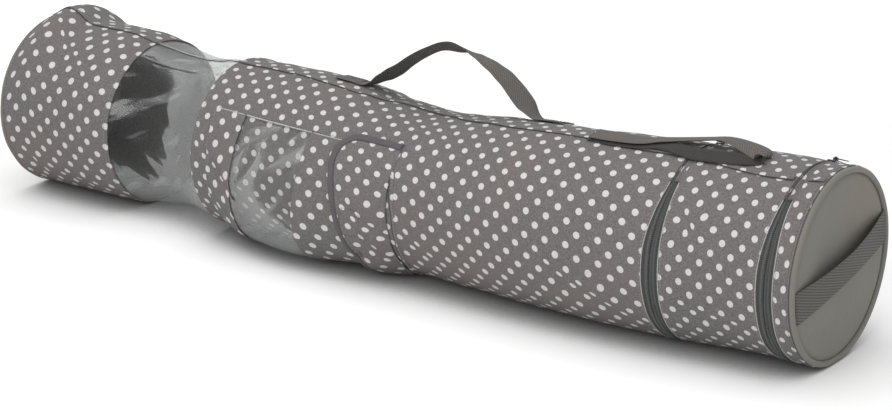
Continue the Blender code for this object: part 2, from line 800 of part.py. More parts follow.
def arch_tab(name, foot, side, slant):
    """Sewn end of the handle: a tab that follows the skin, then slants up beside the arch."""
    lap_middle = arch_pivot().z - crest_height(foot, ARCH_ANGLE)
    leaves_skin = foot + side * slant
    shares = [1 - index / TAB_STEPS for index in range(TAB_STEPS + 1)]
    route = [(leaves_skin + side * TAB_LENGTH * share, GAP) for share in shares]
    route += [(foot, lap_middle - ARCH_LAP), (foot, lap_middle + ARCH_LAP)]
    count = len(route) - 1
    span = arc_angle(ARCH_WIDTH)
    out = outward(ARCH_ANGLE)

    def place(a, b):
        x, height = route[round(a * count)]
        return on_bag(x, ARCH_ANGLE + span * (b - 1 / 2), 0) + out * height
    back = on_bag(leaves_skin + side * TAB_LENGTH, ARCH_ANGLE, -TAB_LENGTH)
    sheet(name, count, 2, place, back, WEBBING, OLIVE_WEBBING)


def loop_plan():
    """Stations round the loop handle, each with its share from the front run to the back."""
    end_radius = math.radians(LOOP_SPREAD_ANGLE) * RADIUS
    low = LOOP_LEFT + end_radius
    high = LOOP_RIGHT - end_radius
    plan = []
    for end, other, side in ((high, low, 1), (low, high, -1)):
        for index in range(LOOP_END_STEPS + 1):
            turn = side * math.pi * (index / LOOP_END_STEPS - 1 / 2)
            x = end + side * end_radius * math.cos(turn)
            plan.append((x, (1 + math.sin(turn)) / 2))
        for index in range(1, LOOP_RUN_STEPS):
            share = index / LOOP_RUN_STEPS
            plan.append((end + (other - end) * share, (1 + side) / 2))
    return plan


def loop_handle():
    """Soft loop of webbing collapsed along the crest, across the first zip."""
    middle = (LOOP_LEFT + LOOP_RIGHT) / 2
    half = (LOOP_RIGHT - LOOP_LEFT) / 2
    points = []
    sideways = []
    for x, back_share in loop_plan():
        along_share = (x - LOOP_LEFT) / (2 * half)
        angle = LOOP_LEFT_ANGLE + (LOOP_RIGHT_ANGLE - LOOP_LEFT_ANGLE) * along_share
        angle += LOOP_SPREAD_ANGLE * (2 * back_share - 1)
        tilt = math.radians(LOOP_FRONT_TILT + (LOOP_BACK_TILT - LOOP_FRONT_TILT) * back_share)
        half_width = LOOP_WIDTH / 2
        rise = LOOP_ARCH * back_share * bump(x, middle, half)
        low_edge = half_width * math.cos(math.radians(angle) + tilt)
        lift = LOOP_LIFT - low_edge + rise
        points.append(on_bag(x, angle, -lift))
        sideways.append(Vector((0, math.cos(tilt), math.sin(tilt))))
    back = sum(points, Vector()) / len(points)
    strip("loop_handle", points, sideways, LOOP_WIDTH, WEBBING, back, OLIVE_WEBBING, closed=True)


def lid_strap():
    """Grab strap across the lid, sewn at both ends inside the piping and bowed outwards."""
    slope = math.radians(LID_STRAP_SLOPE)
    centre = axis_point(LENGTH)
    run = Vector((0, math.cos(slope), math.sin(slope)))
    across = Vector((0, -math.sin(slope), math.cos(slope)))
    inner_radius = RADIUS - 2 * PIPING_RADIUS - 3 * GAP
    half = math.sqrt(inner_radius ** 2 - (LID_STRAP_WIDTH / 2) ** 2)
    points = []
    for index in range(LID_STRAP_STEPS + 1):
        share = 2 * index / LID_STRAP_STEPS - 1
        rise = LID_STRAP_RISE * math.cos(share * math.pi / 2)
        point = centre + run * (half * share)
        point.x = LENGTH / 2 - DISC_SINK + GAP + WEBBING + rise
        points.append(point)
    sideways = [across] * len(points)
    strip("lid_strap", points, sideways, LID_STRAP_WIDTH, WEBBING, centre, OLIVE_WEBBING)


def build():
    global parts
    clear_scene()
    parts = bpy.data.collections.new("gift_wrap_organizer")
    bpy.context.scene.collection.children.link(parts)
    base_end()
    tube()
    zips()
    ribbon_section()
    lid()
    pocket()
    patch("pocket_loop_patch", 2 * GAP + POCKET_FABRIC, PATCH_GREY)
    hooks = patch("flap_hook_patch", 3 * GAP + POCKET_FABRIC + PATCH, PATCH_GREY)
    move_origin(hooks, flap_axis())
    flap()
    arch_handle()
    arch_tab("arch_handle_left_tab", ARCH_LEFT_FOOT, -1, LEFT_TAB_SLANT)
    arch_tab("arch_handle_right_tab", ARCH_RIGHT_FOOT, 1, RIGHT_TAB_SLANT)
    loop_handle()


build()
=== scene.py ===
"""Looks of the gift wrap organizer: dotted fabric, clear vinyl, zips, piping and webbing.

Stations are metres from the base end along the tube. Angles are degrees up from the front and
over the top. Heights are metres outwards from the skin. Every size is in metres.
"""
import json
import math

import bmesh
import bpy
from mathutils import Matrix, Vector, noise


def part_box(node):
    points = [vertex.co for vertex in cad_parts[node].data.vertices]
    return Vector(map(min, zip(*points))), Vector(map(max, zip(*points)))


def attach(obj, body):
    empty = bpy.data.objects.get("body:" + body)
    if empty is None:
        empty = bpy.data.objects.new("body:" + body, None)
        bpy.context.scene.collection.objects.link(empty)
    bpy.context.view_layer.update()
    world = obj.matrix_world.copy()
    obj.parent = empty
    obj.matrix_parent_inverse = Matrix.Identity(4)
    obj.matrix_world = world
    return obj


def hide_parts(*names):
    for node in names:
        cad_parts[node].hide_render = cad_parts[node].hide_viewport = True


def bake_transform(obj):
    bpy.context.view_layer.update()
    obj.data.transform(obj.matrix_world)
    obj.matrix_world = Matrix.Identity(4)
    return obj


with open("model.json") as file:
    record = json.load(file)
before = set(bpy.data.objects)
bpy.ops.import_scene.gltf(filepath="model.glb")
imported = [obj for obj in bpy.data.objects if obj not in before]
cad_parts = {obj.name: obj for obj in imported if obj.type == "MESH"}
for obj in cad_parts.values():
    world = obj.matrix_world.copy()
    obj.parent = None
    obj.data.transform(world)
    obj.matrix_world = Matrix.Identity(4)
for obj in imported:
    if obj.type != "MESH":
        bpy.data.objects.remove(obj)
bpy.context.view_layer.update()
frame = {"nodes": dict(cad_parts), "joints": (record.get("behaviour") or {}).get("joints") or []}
joints = {joint["name"]: joint for joint in frame["joints"]}

# Places read from the CAD
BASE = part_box("base_piping")[0].x
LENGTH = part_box("lid_piping")[1].x - BASE


def station(node, end):
    """Station of a CAD node's low end (0) or high end (1)."""
    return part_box(node)[end].x - BASE


def joint_place(joint):
    """Point on a joint's axis."""
    return Vector(joints[joint]["pos_m"])


SLEEVE_START = station("base_sleeve", 0)
SLEEVE_END = station("base_sleeve", 1)
WINDOW_END = station("body_panel", 0)
ZIP_1_AT = joint_place("ribbon_section_fold").x - BASE
ZIP_2_AT = joint_place("lid_fold").x - BASE
POCKET_START = station("pocket_side", 0)
POCKET_WINDOW_START = station("pocket_window", 0)
POCKET_WINDOW_END = station("pocket_window", 1)
POCKET_MOUTH = station("pocket_mouth_binding", 1)
FLAP_HINGE = joint_place("flap_fold").x - BASE

# Shape of the soft tube, as in the CAD
RADIUS = 0.1016
FOOT = 0.003
LID_FOOT = 0.0006
LID_FOOT_AT = LENGTH - 0.06
SLEEVE_PUFF = 0.0162
SLEEVE_PUFF_AT = 0.035
SLEEVE_PUFF_REACH = 0.040
WINDOW_PINCH = 0.021
WINDOW_PINCH_AT = 0.227
WINDOW_PINCH_REACH = 0.095
WINDOW_SWAY = 0.020
WINDOW_SWAY_AT = 0.232
WINDOW_SWAY_REACH = 0.082
BODY_SAG = 0.0135
BODY_SAG_AT = 0.530
BODY_SAG_REACH = 0.370
SPREAD_SHARE = 0.2
PINCH_SHARE = 0.35
SWAY = 0.016
SWAY_AT = 0.790
SWAY_REACH = 0.265

# Angle of the long top seam, by station
SEAM_ANGLE = 67.5
SEAM_ROUTE = ((0.0, 84.0), (0.17, 85.5), (0.30, 83.0), (0.36, 84.6), (0.46, 82.0), (0.545, 91.5),
              (0.65, 80.6), (0.745, 81.0), (0.90, 73.5), (1.00, 66.5), (1.03, 68.5), (1.065, 71.0))

# How far the crest sinks, by station, and the angles over which it does
CREST_DIP = ((0.0, 0.0), (0.29, 0.0), (0.32, 0.0042), (0.345, 0.0025), (0.40, 0.0002),
             (0.45, 0.0002), (0.475, 0.0025), (0.505, 0.0088), (0.57, 0.0136), (0.61, 0.0106),
             (0.66, 0.0056), (0.75, 0.0040), (0.83, 0.0022), (0.90, 0.0), (1.065, 0.0))
CREST_ANGLE = 100.0
CREST_REACH = 85.0

# The skin flattens where it lies on the floor
FLOOR_CLEAR = 0.0014
FLOOR_EASE = 0.004

# Undulation of the fabric, and the gathers along its sewn edges
SWELL = 0.0011
SWELLS_ALONG = 14.0
SWELLS_AROUND = 1.5
RIPPLE = 0.0005
RIPPLE_SHARE = 2.7
EDGE_GATHER = 0.0010
EDGE_GATHER_REACH = 0.030
ZIP_GATHER = 0.0009
ZIP_GATHER_REACH = 0.024

# Each crease: station, angle, half length, half width, slope, depth
CREASES = (
    (0.840, -24.4, 0.062, 0.0045, -30.4, 0.0028),
    (0.945, 28.1, 0.017, 0.0050, -57.4, 0.0024),
    (0.065, 60.5, 0.036, 0.0050, -40.4, 0.0026),
    (0.109, 44.8, 0.039, 0.0060, -40.6, 0.0012),
    (0.042, -34.5, 0.024, 0.0040, -62.1, 0.0024),
    (0.101, -40.8, 0.034, 0.0040, -14.3, 0.0022),
    (0.338, 2.9, 0.026, 0.0040, -40.1, 0.0020),
    (0.361, -6.8, 0.024, 0.0040, -28.0, 0.0020),
    (0.311, 16.5, 0.030, 0.0050, -58.8, 0.0012),
    (0.557, -10.2, 0.035, 0.0050, -35.1, 0.0024),
    (0.558, -26.4, 0.035, 0.0050, -57.3, 0.0026),
    (0.617, -20.9, 0.030, 0.0050, -38.1, 0.0020),
    (0.976, -23.8, 0.039, 0.0040, -13.2, 0.0018),
    (1.040, -2.9, 0.017, 0.0040, -54.0, 0.0014),
    (1.039, 67.2, 0.017, 0.0040, 85.5, 0.0016),
    (0.587, 63.3, 0.051, 0.0080, -14.8, 0.0014),
    (0.710, 38.1, 0.046, 0.0100, -16.5, 0.0006),
    (0.700, -52.0, 0.070, 0.0070, 4.0, 0.0018),
    (0.440, 52.0, 0.060, 0.0100, -12.0, 0.0010),
    (0.820, 140.0, 0.080, 0.0120, 20.0, 0.0020),
    (0.500, 170.0, 0.110, 0.0140, -14.0, 0.0024),
    (0.400, 140.0, 0.070, 0.0100, 30.0, 0.0018),
    (0.680, 195.0, 0.100, 0.0120, 12.0, 0.0022),
)
TUCK_SHARE = 2.6
TUCK_SPREAD_SHARE = 4
TUCK_REACH_SHARES = (3, 8)
RIDGE_SHARE = 0.45
RIDGE_AT_SHARE = 1.6

# Fineness of the meshes
STEP = 0.004
ANGLE_STEP = 2.4
ROW_ANGLE_STEP = 2.0
VINYL_ANGLE_STEP = 1.5
WELD = 0.00001

# Thicknesses
FABRIC = 0.0008
VINYL = 0.0005
WEBBING = 0.0018
TAPE = 0.0006
BEAD_SIDES = 6

# Hems and stitches; each ring of a stitch: share of its length, share of its radius, rise in radii
HEM_REACH = 0.004
HEM_RISE = 0.0006
HEM_STEP = 0.0008
HEM_STEPS = 6
HEM_STITCH_AT = 0.0045
THREAD = 0.00032
FINE_THREAD = 0.00026
STITCH = 0.0026
STITCH_GAP = 0.0012
STITCH_RING_SHARES = ((0.0, 0.25, -0.6), (0.12, 0.8, 0.2), (0.5, 1.0, 0.7), (0.88, 0.8, 0.2),
                      (1.0, 0.25, -0.6))

# Top seam: a felled fold; each point of its profile: share of its width, height
SEAM_WIDTH_ANGLE = 4.2
SEAM_START_ANGLE = -0.5
SEAM_STITCH_ANGLE = 2.4
# Radius of the dark bead along the fold's low edge, which paints the shade in its groove
SEAM_GROOVE = 0.0006
SEAM_THICKNESS = 0.0003
SEAM_GAP_AT_ZIP = 0.0125
SEAM_PROFILE = ((0.0, -0.0012), (0.02, 0.0006), (0.10, 0.0015), (0.25, 0.0018), (0.5, 0.0013),
                (0.8, 0.0006), (1.0, -0.0004))
SEAM_SHARES = (0.0, 0.02, 0.06, 0.10, 0.17, 0.25, 0.37, 0.5, 0.65, 0.8, 0.9, 1.0)

# Zips
TAPE_WIDTH = 0.0185
TAPE_RIDGE_PITCH = 0.0065
TAPE_RIB_PITCH = 0.0020
TAPE_LIFT = 0.0006
TAPE_PROFILE = ((0.0002, -0.0006), (0.0012, -0.0008), (0.0024, -0.0006), (0.0030, -0.0001),
                (0.0040, -0.0003), (0.0052, -0.0003), (0.0058, 0.0001), (0.0066, -0.0003),
                (0.0080, -0.0005), (TAPE_WIDTH / 2 + 0.0015, -0.0012))
COIL_WIRE = 0.00045
COIL_PITCH = 0.0021
COIL_AT = 0.0019
COIL_HALF_WIDTH = 0.0014
COIL_HALF_HEIGHT = 0.0006
COIL_LIFT = 0.0010
COIL_END_ANGLE = 0.4
POINTS_PER_TURN = 8
ZIP_STITCH_AT = 0.0022
# Radius of the pale lip bead along each hem's fold, which paints its highlight
ZIP_LIP = 0.00055
ZIP_FRONT_ANGLE = 52.5
ZIP_BACK_ANGLE = 105.0
ZIP_MIDDLE_ANGLE = (ZIP_FRONT_ANGLE + ZIP_BACK_ANGLE) / 2
ZIP_END_HALF = (ZIP_BACK_ANGLE - ZIP_FRONT_ANGLE) / 2 - 6
ZIP_NARROW_REACH = 52.0
ZIP_NARROW_SHARE = 0.50
ZIP_1_LEAN = 0.0035
ZIP_2_LEAN = 0.0010

# Each side of a zip: zip, panel it is sewn to, station, side, body it rides on
ZIP_SIDES = (("zip_1", "body", ZIP_1_AT, -1, "root"),
             ("zip_1", "section", ZIP_1_AT, 1, "ribbon_section"),
             ("zip_2", "section", ZIP_2_AT, -1, "ribbon_section"),
             ("zip_2", "lid", ZIP_2_AT, 1, "lid"))

# Each zip's hinge: zip, station, and the lattices and bodies before and after it
ZIP_HINGES = (("zip_1", ZIP_1_AT, ("body", "section"), ("root", "ribbon_section")),
              ("zip_2", ZIP_2_AT, ("section", "lid"), ("ribbon_section", "lid")))

# Uncut strip over each zip: a ridge on the hinge, two sunk lines, two grooves painted as dark beads
# of shade and a stitched row
STRIP_STEP = 0.0008
STRIP_RIDGE = 0.0009
STRIP_RIDGE_REACH = 0.0035
STRIP_SINK = 0.0006
STRIP_SINK_AT = 0.0045
STRIP_SINK_REACH = 0.002
STRIP_GROOVES_AT = (-0.0078, -0.0048)
STRIP_GROOVE = 0.0005
STRIP_STITCH_AT = 0.0048
END_BAR = 0.0009
END_BAR_LIFT = 0.0014

# Ends
PIPING_RADIUS = 0.0032
PIPING_SIDES = 12
PIPING_OVERLAP = 0.0012
END_STITCH_AT = 0.0075
DISC_SINK = 0.0030
DISC_SWELL = 0.0022
DISC_SWELLS = 22
DISC_HOLLOW = 0.0012
DISC_ROLL = 0.0030
DISC_ROLL_SHARE = 0.93
DISC_SHARES = (0.0, 0.12, 0.24, 0.36, 0.48, 0.60, 0.70, 0.79, 0.86, 0.91, 0.95, 0.98, 1.0)

# Pocket
POCKET_TOP_ANGLE = 39.5
POCKET_LOW_ANGLE = -62.0
POCKET_RISE = 0.026
POCKET_MOUTH_RISE = 0.010
POCKET_FULL_AT = 0.420
POCKET_BELLY_ANGLE = -32.0
POCKET_LIFT = 0.0010
POCKET_TUCK = 0.004
PLEAT = 0.0022
PLEAT_WAVES_AROUND = 7.0
PLEAT_WAVES_ALONG = 90.0
BINDING_WIDTH = 0.0085
BINDING_CROWN = 0.0011

# Flap; each point of a profile: distance across it, height
FLAP_REACH = 0.081
FLAP_CORNER = 0.030
FLAP_TOP_ANGLE = 45.5
FLAP_SLANT = 0.00052
FLAP_SLANT_FROM = 24.0
FLAP_STEPS = 40
FLAP_CORNER_STEPS = 12
FLAP_OVER_POCKET = 0.0052
FLAP_LIFT = 0.0009
FLAP_DENTS = ((0.0030, (0.535, -34.0, 0.030, 0.010, 30.0)),
              (0.0016, (0.552, -20.0, 0.030, 0.008, 60.0)))
BINDING_PROFILE = ((0.0004, 0.0000), (0.0, 0.0010), (0.0006, 0.0019), (0.0020, 0.0024),
                   (0.0042, 0.0024), (0.0064, 0.0023), (0.0079, 0.0019), (BINDING_WIDTH, 0.0011))
HINGE_ROUTE = ((-66.0, -0.001), (-31.0, 0.006), (-3.0, 0.007), (16.0, 0.002), (29.0, -0.003),
               (50.0, -0.005))
HINGE_PROFILE = ((-0.0002, 0.0), (0.0, 0.0009), (0.0008, 0.0014), (0.0016, 0.0015),
                 (0.0026, 0.0014), (0.0036, 0.0011), (0.0044, 0.0004), (0.0048, -0.0004))
# Radius of the dark bead in the hinge's groove, which paints its shade
HINGE_GROOVE = 0.0008
HINGE_THICKNESS = 0.0004
HINGE_STITCH_AT = 0.0026
PATCH_START = FLAP_HINGE - 0.0545
PATCH_END = FLAP_HINGE - 0.0375
PATCH_LOW_ANGLE = -17.0
PATCH_HIGH_ANGLE = -2.0
PATCH_THICKNESS = 0.0009

# Square of stitches around the hook patch: places from the hinge, and angles
PATCH_BOX = ((-0.0555, -17.5), (-0.0305, -17.5), (-0.0305, -1.5), (-0.0555, -1.5),
             (-0.0555, -17.5))

# Arch handle: stations and world heights of its legs and crown, and its roll by station
ARCH_WIDTH = 0.027
ARCH_TAB_LIFT = WEBBING / 2 + 0.0002
ARCH_TURN_LIFT = 0.0012
ARCH_TAB_ENDS = (0.022, 0.040)
ARCH_RIGHT_TAB = (0.6900, 0.7040, 0.7180)
ARCH_FLAT_REACH = 0.015
ARCH_ROUTE = ((0.4860, 0.1975), (0.5000, 0.2065), (0.5150, 0.2171), (0.5300, 0.2277),
              (0.5500, 0.2390), (0.5700, 0.2457), (0.5920, 0.2470), (0.6120, 0.2422),
              (0.6330, 0.2330), (0.6490, 0.2233), (0.6600, 0.2137), (0.6680, 0.2058),
              (0.6770, 0.1970))
ARCH_ROLL = ((0.470, 10.0), (0.486, 25.0), (0.500, 29.0), (0.515, 21.0), (0.550, 21.0),
             (0.582, 38.0), (0.600, 26.0), (0.612, 14.0), (0.633, 1.0), (0.649, -10.0),
             (0.668, -20.0), (0.690, -12.0))
ARCH_MIDDLE = 0.585
ARCH_STITCH_MARGIN = 0.003
ARCH_STITCH_BOX = 0.030

# Loop handle; each point: share along the loop, angle, height, tilt of its width in degrees
LOOP_WIDTH = 0.021
LOOP_MARGIN = 0.001
LOOP_BACK = (
    (0.02, 82.4, 0.0042, 10.0), (0.16, 80.9, 0.0042, 10.0), (0.31, 82.0, 0.0040, 4.0),
    (0.40, 86.0, 0.0040, -2.0), (0.49, 90.0, 0.0042, -4.0), (0.60, 92.0, 0.0078, -5.0),
    (0.73, 91.8, 0.0098, -4.0), (0.80, 90.3, 0.0092, 4.0), (0.88, 87.2, 0.0078, 14.0),
    (0.95, 83.6, 0.0066, 22.0), (0.985, 81.6, 0.0056, 26.0))
LOOP_FRONT = (
    (0.990, 80.8, 0.0042, 27.0), (0.975, 80.0, 0.0032, 26.0), (0.93, 78.2, 0.0030, 22.0),
    (0.87, 76.2, 0.0028, 18.0), (0.77, 75.6, 0.0028, 17.0), (0.69, 75.4, 0.0030, 18.0),
    (0.61, 75.8, 0.0030, 16.0), (0.49, 79.0, 0.0028, 8.0), (0.42, 80.6, 0.0022, 5.0),
    (0.31, 79.6, 0.0016, 10.0), (0.16, 79.6, 0.0014, 12.0), (0.01, 82.4, 0.0015, 12.0))

# Lid strap
LID_STRAP_WIDTH = 0.036
LID_STRAP_SLOPE = 11.2
LID_STRAP_BOW = 0.0085
LID_STRAP_TILT = 0.20
LID_STRAP_STEPS = 40

# Cross-section of webbing: shares of half its width and of half its thickness
SELVAGE_SHARES = (-1.0, -0.96, -0.86, -0.5, 0.0, 0.5, 0.86, 0.96, 1.0)
CROWN_SHARES = (0.0, 0.45, 0.92, 1.0, 0.94, 1.0, 0.92, 0.45, 0.0)
CURVE_STEPS = 8

# Dots, in two crossing counts for each panel: start, dots per metre along and per metre around
DOT_PITCH = 0.0252
DOT_RADIUS = 0.0038
DOT_EDGE = 0.0003
LATTICE_FROM = 0.5
LATTICES = {
    "sleeve": ((0.468, 40.8, 38.4), (-0.079, 39.2, -39.4)),
    "body": ((-0.456, 42.4, 45.0), (0.409, 38.4, -37.8)),
    "pocket_side": ((-0.020, 45.0, 41.0), (0.008, 36.0, -41.0)),
    "pocket_front": ((0.483, 36.8, 51.4), (-0.122, 39.2, -35.9)),
    "flap": ((0.116, 39.3, 58.4), (-0.218, 41.6, -36.6)),
    "section": ((-0.084, 48.1, 44.2), (0.451, 43.3, -40.5)),
    "lid": ((0.025, 53.7, 42.2), (0.287, 56.0, -39.4)),
}

# Colours
GREY = (0.146, 0.137, 0.135)
OLIVE = (0.178, 0.171, 0.151)
DOTS = (0.56, 0.545, 0.54)
WHITE = (1, 1, 1, 1)

# Stage; the floor's colour and glow carry a painted shadow near the bag: each row gives an openness
# to the surroundings and the share of light that the floor keeps there
CAMERA_LENS = 103.04
CAMERA_PLACE = (1.6060, -2.1516, 0.9552)
CAMERA_TURN = (71.602, 0, 35.891)
WORLD_LIGHT = 0.55
FLOOR_SIZE = 14
FLOOR_DROP = 0.0004
SHADE_REACH = 0.15
SHADE_SHARES = ((0.0, 0.10), (0.22, 0.25), (0.30, 0.45), (0.38, 0.76), (0.46, 0.90),
                (0.60, 0.95), (1.0, 1.0))


# Shape of the skin


def bump(x, centre, reach):
    """A smooth rise from 0 to 1 and back, centred on one station."""
    share = (x - centre) / reach
    if abs(share) >= 1:
        return 0.0
    return math.cos(share * math.pi / 2) ** 2


def ease(share):
    """Smooth step from 0 to 1."""
    share = min(1.0, max(0.0, share))
    return share * share * (3 - 2 * share)


def wrapped(angle):
    """An angle brought between -180 and 180."""
    return (angle + 180) % 360 - 180


def read_route(route, x, bend=ease):
    """Value at a place in a table of places and values, with a bend between its rows."""
    first = route[0]
    for second in route[1:]:
        if x <= second[0]:
            share = bend((x - first[0]) / (second[0] - first[0]))
            return first[1] + (second[1] - first[1]) * share
        first = second
    return first[1]


def seam_angle(x):
    """Angle at which the long top seam runs at a station."""
    return read_route(SEAM_ROUTE, x)


def half_sizes(x):
    """Half width and half height of the soft tube at a station."""
    puff = SLEEVE_PUFF * bump(x, SLEEVE_PUFF_AT, SLEEVE_PUFF_REACH)
    pinch = WINDOW_PINCH * bump(x, WINDOW_PINCH_AT, WINDOW_PINCH_REACH)
    sag = BODY_SAG * bump(x, BODY_SAG_AT, BODY_SAG_REACH)
    half_width = RADIUS + SPREAD_SHARE * sag - PINCH_SHARE * pinch
    half_height = RADIUS + (puff - pinch - sag) / 2
    return half_width, half_height


def axis_point(x):
    """Centre of the tube at a station."""
    to_back = WINDOW_SWAY * bump(x, WINDOW_SWAY_AT, WINDOW_SWAY_REACH)
    sway = to_back - SWAY * bump(x, SWAY_AT, SWAY_REACH)
    foot = FOOT + (LID_FOOT - FOOT) * ease((x - ZIP_1_AT) / (LID_FOOT_AT - ZIP_1_AT))
    return Vector((x + BASE, sway, half_sizes(x)[1] - foot))


def turned(along, around, slope):
    """Distances along and beside a line that a slope in degrees has turned."""
    turn = math.radians(slope)
    return (along * math.cos(turn) + around * math.sin(turn),
            around * math.cos(turn) - along * math.sin(turn))


def dent(x, angle, centre_x, centre_angle, length, width, slope):
    """A soft valley at a place on the skin, turned by a slope in degrees; 1 at its middle."""
    around = math.radians(angle - centre_angle) * RADIUS
    beyond, beside = turned(x - centre_x, around, slope)
    return math.exp(-(beyond / length) ** 2 - (beside / width) ** 2)


def tucked(x, angle):
    """Station and distance around on the flat cloth: each crease swallows some of it."""
    along = x
    around = math.radians(angle) * RADIUS
    for centre_x, centre_angle, length, width, slope, depth in CREASES:
        rise = math.radians(wrapped(angle - centre_angle)) * RADIUS
        beyond, beside = turned(x - centre_x, rise, slope)
        beyond /= length
        beside /= width
        if abs(beyond) > TUCK_REACH_SHARES[0] or abs(beside) > TUCK_REACH_SHARES[1]:
            continue
        fade = math.exp(-beyond ** 2 - (beside / TUCK_SPREAD_SHARE) ** 2)
        pull = TUCK_SHARE * depth * math.tanh(beside) * fade
        along -= pull * math.sin(math.radians(slope))
        around += pull * math.cos(math.radians(slope))
    return along, around


def relief(x, angle):
    """Undulation, creases and gathers of the fabric, as a height."""
    turn = math.radians(angle)
    spot = Vector((x * SWELLS_ALONG, SWELLS_AROUND * math.cos(turn),
                   SWELLS_AROUND * math.sin(turn)))
    height = SWELL * noise.noise(spot) + RIPPLE * noise.noise(spot * RIPPLE_SHARE)
    for centre_x, centre_angle, length, width, slope, depth in CREASES:
        place = centre_x, centre_angle, length, width, slope
        beside = math.degrees(RIDGE_AT_SHARE * width / RADIUS)
        height -= depth * dent(x, angle, *place)
        height += RIDGE_SHARE * depth * dent(x, angle + beside, *place)
    height -= read_route(CREST_DIP, x) * bump(angle % 360, CREST_ANGLE, CREST_REACH)
    for edge in (SLEEVE_END, WINDOW_END):
        height -= EDGE_GATHER * bump(x, edge, EDGE_GATHER_REACH)
    for zip_at in (ZIP_1_AT, ZIP_2_AT):
        height -= ZIP_GATHER * bump(x, zip_at, ZIP_GATHER_REACH)
    return height


def near_zip(x, angle):
    """Station after each zip has been drawn narrower and across near its ends."""
    away = abs(wrapped(angle - ZIP_MIDDLE_ANGLE))
    narrow = 1 - ease((away - ZIP_END_HALF) / ZIP_NARROW_REACH)
    for centre, lean in ((ZIP_1_AT, ZIP_1_LEAN), (ZIP_2_AT, ZIP_2_LEAN)):
        from_zip = x - centre
        hold = 1 - ease((abs(from_zip) - TAPE_WIDTH / 2) / TAPE_WIDTH)
        x += (lean - ZIP_NARROW_SHARE * from_zip) * narrow * hold
    return x


def skin(x, angle, height=0.0):
    """Point at a station, an angle in degrees and a height over the skin."""
    x = near_zip(x, angle)
    half_width, half_height = half_sizes(x)
    turn = math.radians(angle)
    centre = axis_point(x)
    lift = height + relief(x, angle)
    y = centre.y - (half_width + lift) * math.cos(turn)
    z = centre.z + (half_height + lift) * math.sin(turn)
    low = max(0.0, FLOOR_CLEAR - max(0.0, height))
    gap = z - low
    if gap < FLOOR_EASE:
        gap = max(gap, -FLOOR_EASE)
        z = low + (gap + FLOOR_EASE) ** 2 / (4 * FLOOR_EASE)
    return Vector((centre.x, y, z))


def angle_at(x, y):
    """Angle at which the top of the skin has a given y."""
    return 90 + math.degrees(math.asin((y - axis_point(x).y) / half_sizes(x)[0]))


def outward(angle):
    """Direction away from the tube's axis at an angle."""
    turn = math.radians(angle)
    return Vector((0, -math.cos(turn), math.sin(turn)))


def skin_route(spots, height=0.0):
    """Route of points and outward directions through stations and angles."""
    return [(skin(x, angle, height), outward(angle)) for x, angle in spots]


# Mesh helpers


def steps(start, end, step):
    """Even values from start to end, no more than a step apart."""
    count = max(1, math.ceil((end - start) / step - 0.001))
    return [start + (end - start) * index / count for index in range(count + 1)]


def edge_steps(start, end, step):
    """Steps with a few fine ones at both ends, for hems."""
    low = [start + HEM_STEP * index for index in range(HEM_STEPS)]
    high = [end - HEM_STEP * index for index in range(HEM_STEPS)][::-1]
    return low + steps(low[-1] + HEM_STEP, high[0] - HEM_STEP, step) + high


def circle(sides):
    """Angles in radians of the corners of one ring."""
    return [2 * math.pi * side / sides for side in range(sides)]


def running_lengths(points):
    """Distance run at each point of a line."""
    runs = [0.0]
    for first, second in zip(points, points[1:]):
        runs.append(runs[-1] + (second - first).length)
    return runs


def curve_through(points):
    """Catmull-Rom curve through points."""
    padded = [points[0] * 2 - points[1], *points, points[-1] * 2 - points[-2]]
    out = []
    for index in range(1, len(padded) - 2):
        a, b, c, d = padded[index - 1:index + 3]
        for step in range(CURVE_STEPS):
            t = step / CURVE_STEPS
            out.append(0.5 * (2 * b + (c - a) * t + (2 * a - 5 * b + 4 * c - d) * t * t
                              + (3 * b - a - 3 * c + d) * t ** 3))
    out.append(padded[-2].copy())
    return out


def cloth_map(lattice):
    """Function from a station and an angle to the dots' own coordinates, in metres."""
    (start_p, along_p, around_p), (start_q, along_q, around_q) = LATTICES[lattice]

    def place(x, angle):
        along, around = tucked(near_zip(x, angle), angle)
        along -= LATTICE_FROM
        p = start_p + along_p * along + around_p * around
        q = start_q + along_q * along + around_q * around
        return (p + q) / 2 * DOT_PITCH, (p - q) / 2 * DOT_PITCH
    return place


def plain_map(x, angle):
    """Station and distance around, in metres."""
    return x, math.radians(angle) * RADIUS


def new_mesh(name, verts, faces, loop_uvs, materials):
    """A smooth mesh object with one map, from its corners in order."""
    mesh = bpy.data.meshes.new(name)
    mesh.from_pydata(verts, [], faces)
    layer = mesh.uv_layers.new(name="cloth")
    for index, uv in enumerate(loop_uvs):
        layer.data[index].uv = uv
    for material in materials:
        mesh.materials.append(material)
    mesh.shade_smooth()
    item = bpy.data.objects.new(name, mesh)
    bpy.context.scene.collection.objects.link(item)
    return item


def edit_mesh(item, work):
    """Let some work be done on an object's mesh."""
    bm = bmesh.new()
    bm.from_mesh(item.data)
    work(bm)
    bm.to_mesh(item.data)
    bm.free()


def flip_outwards(item):
    """Make every closed shell's normals point out."""
    edit_mesh(item, lambda bm: bmesh.ops.recalc_face_normals(bm, faces=bm.faces))


def weld(item):
    """Merge the vertices that share a place."""
    edit_mesh(item, lambda bm: bmesh.ops.remove_doubles(bm, verts=bm.verts, dist=WELD))


def thicken(item, thickness, back_material=0):
    """Give a sheet thickness on its back, as real mesh."""
    wall = item.modifiers.new("Thickness", "SOLIDIFY")
    wall.thickness = thickness
    wall.offset = -1
    wall.use_rim = True
    wall.material_offset = back_material
    bpy.context.view_layer.update()
    graph = bpy.context.evaluated_depsgraph_get()
    mesh = bpy.data.meshes.new_from_object(item.evaluated_get(graph), depsgraph=graph)
    item.modifiers.clear()
    item.data = mesh


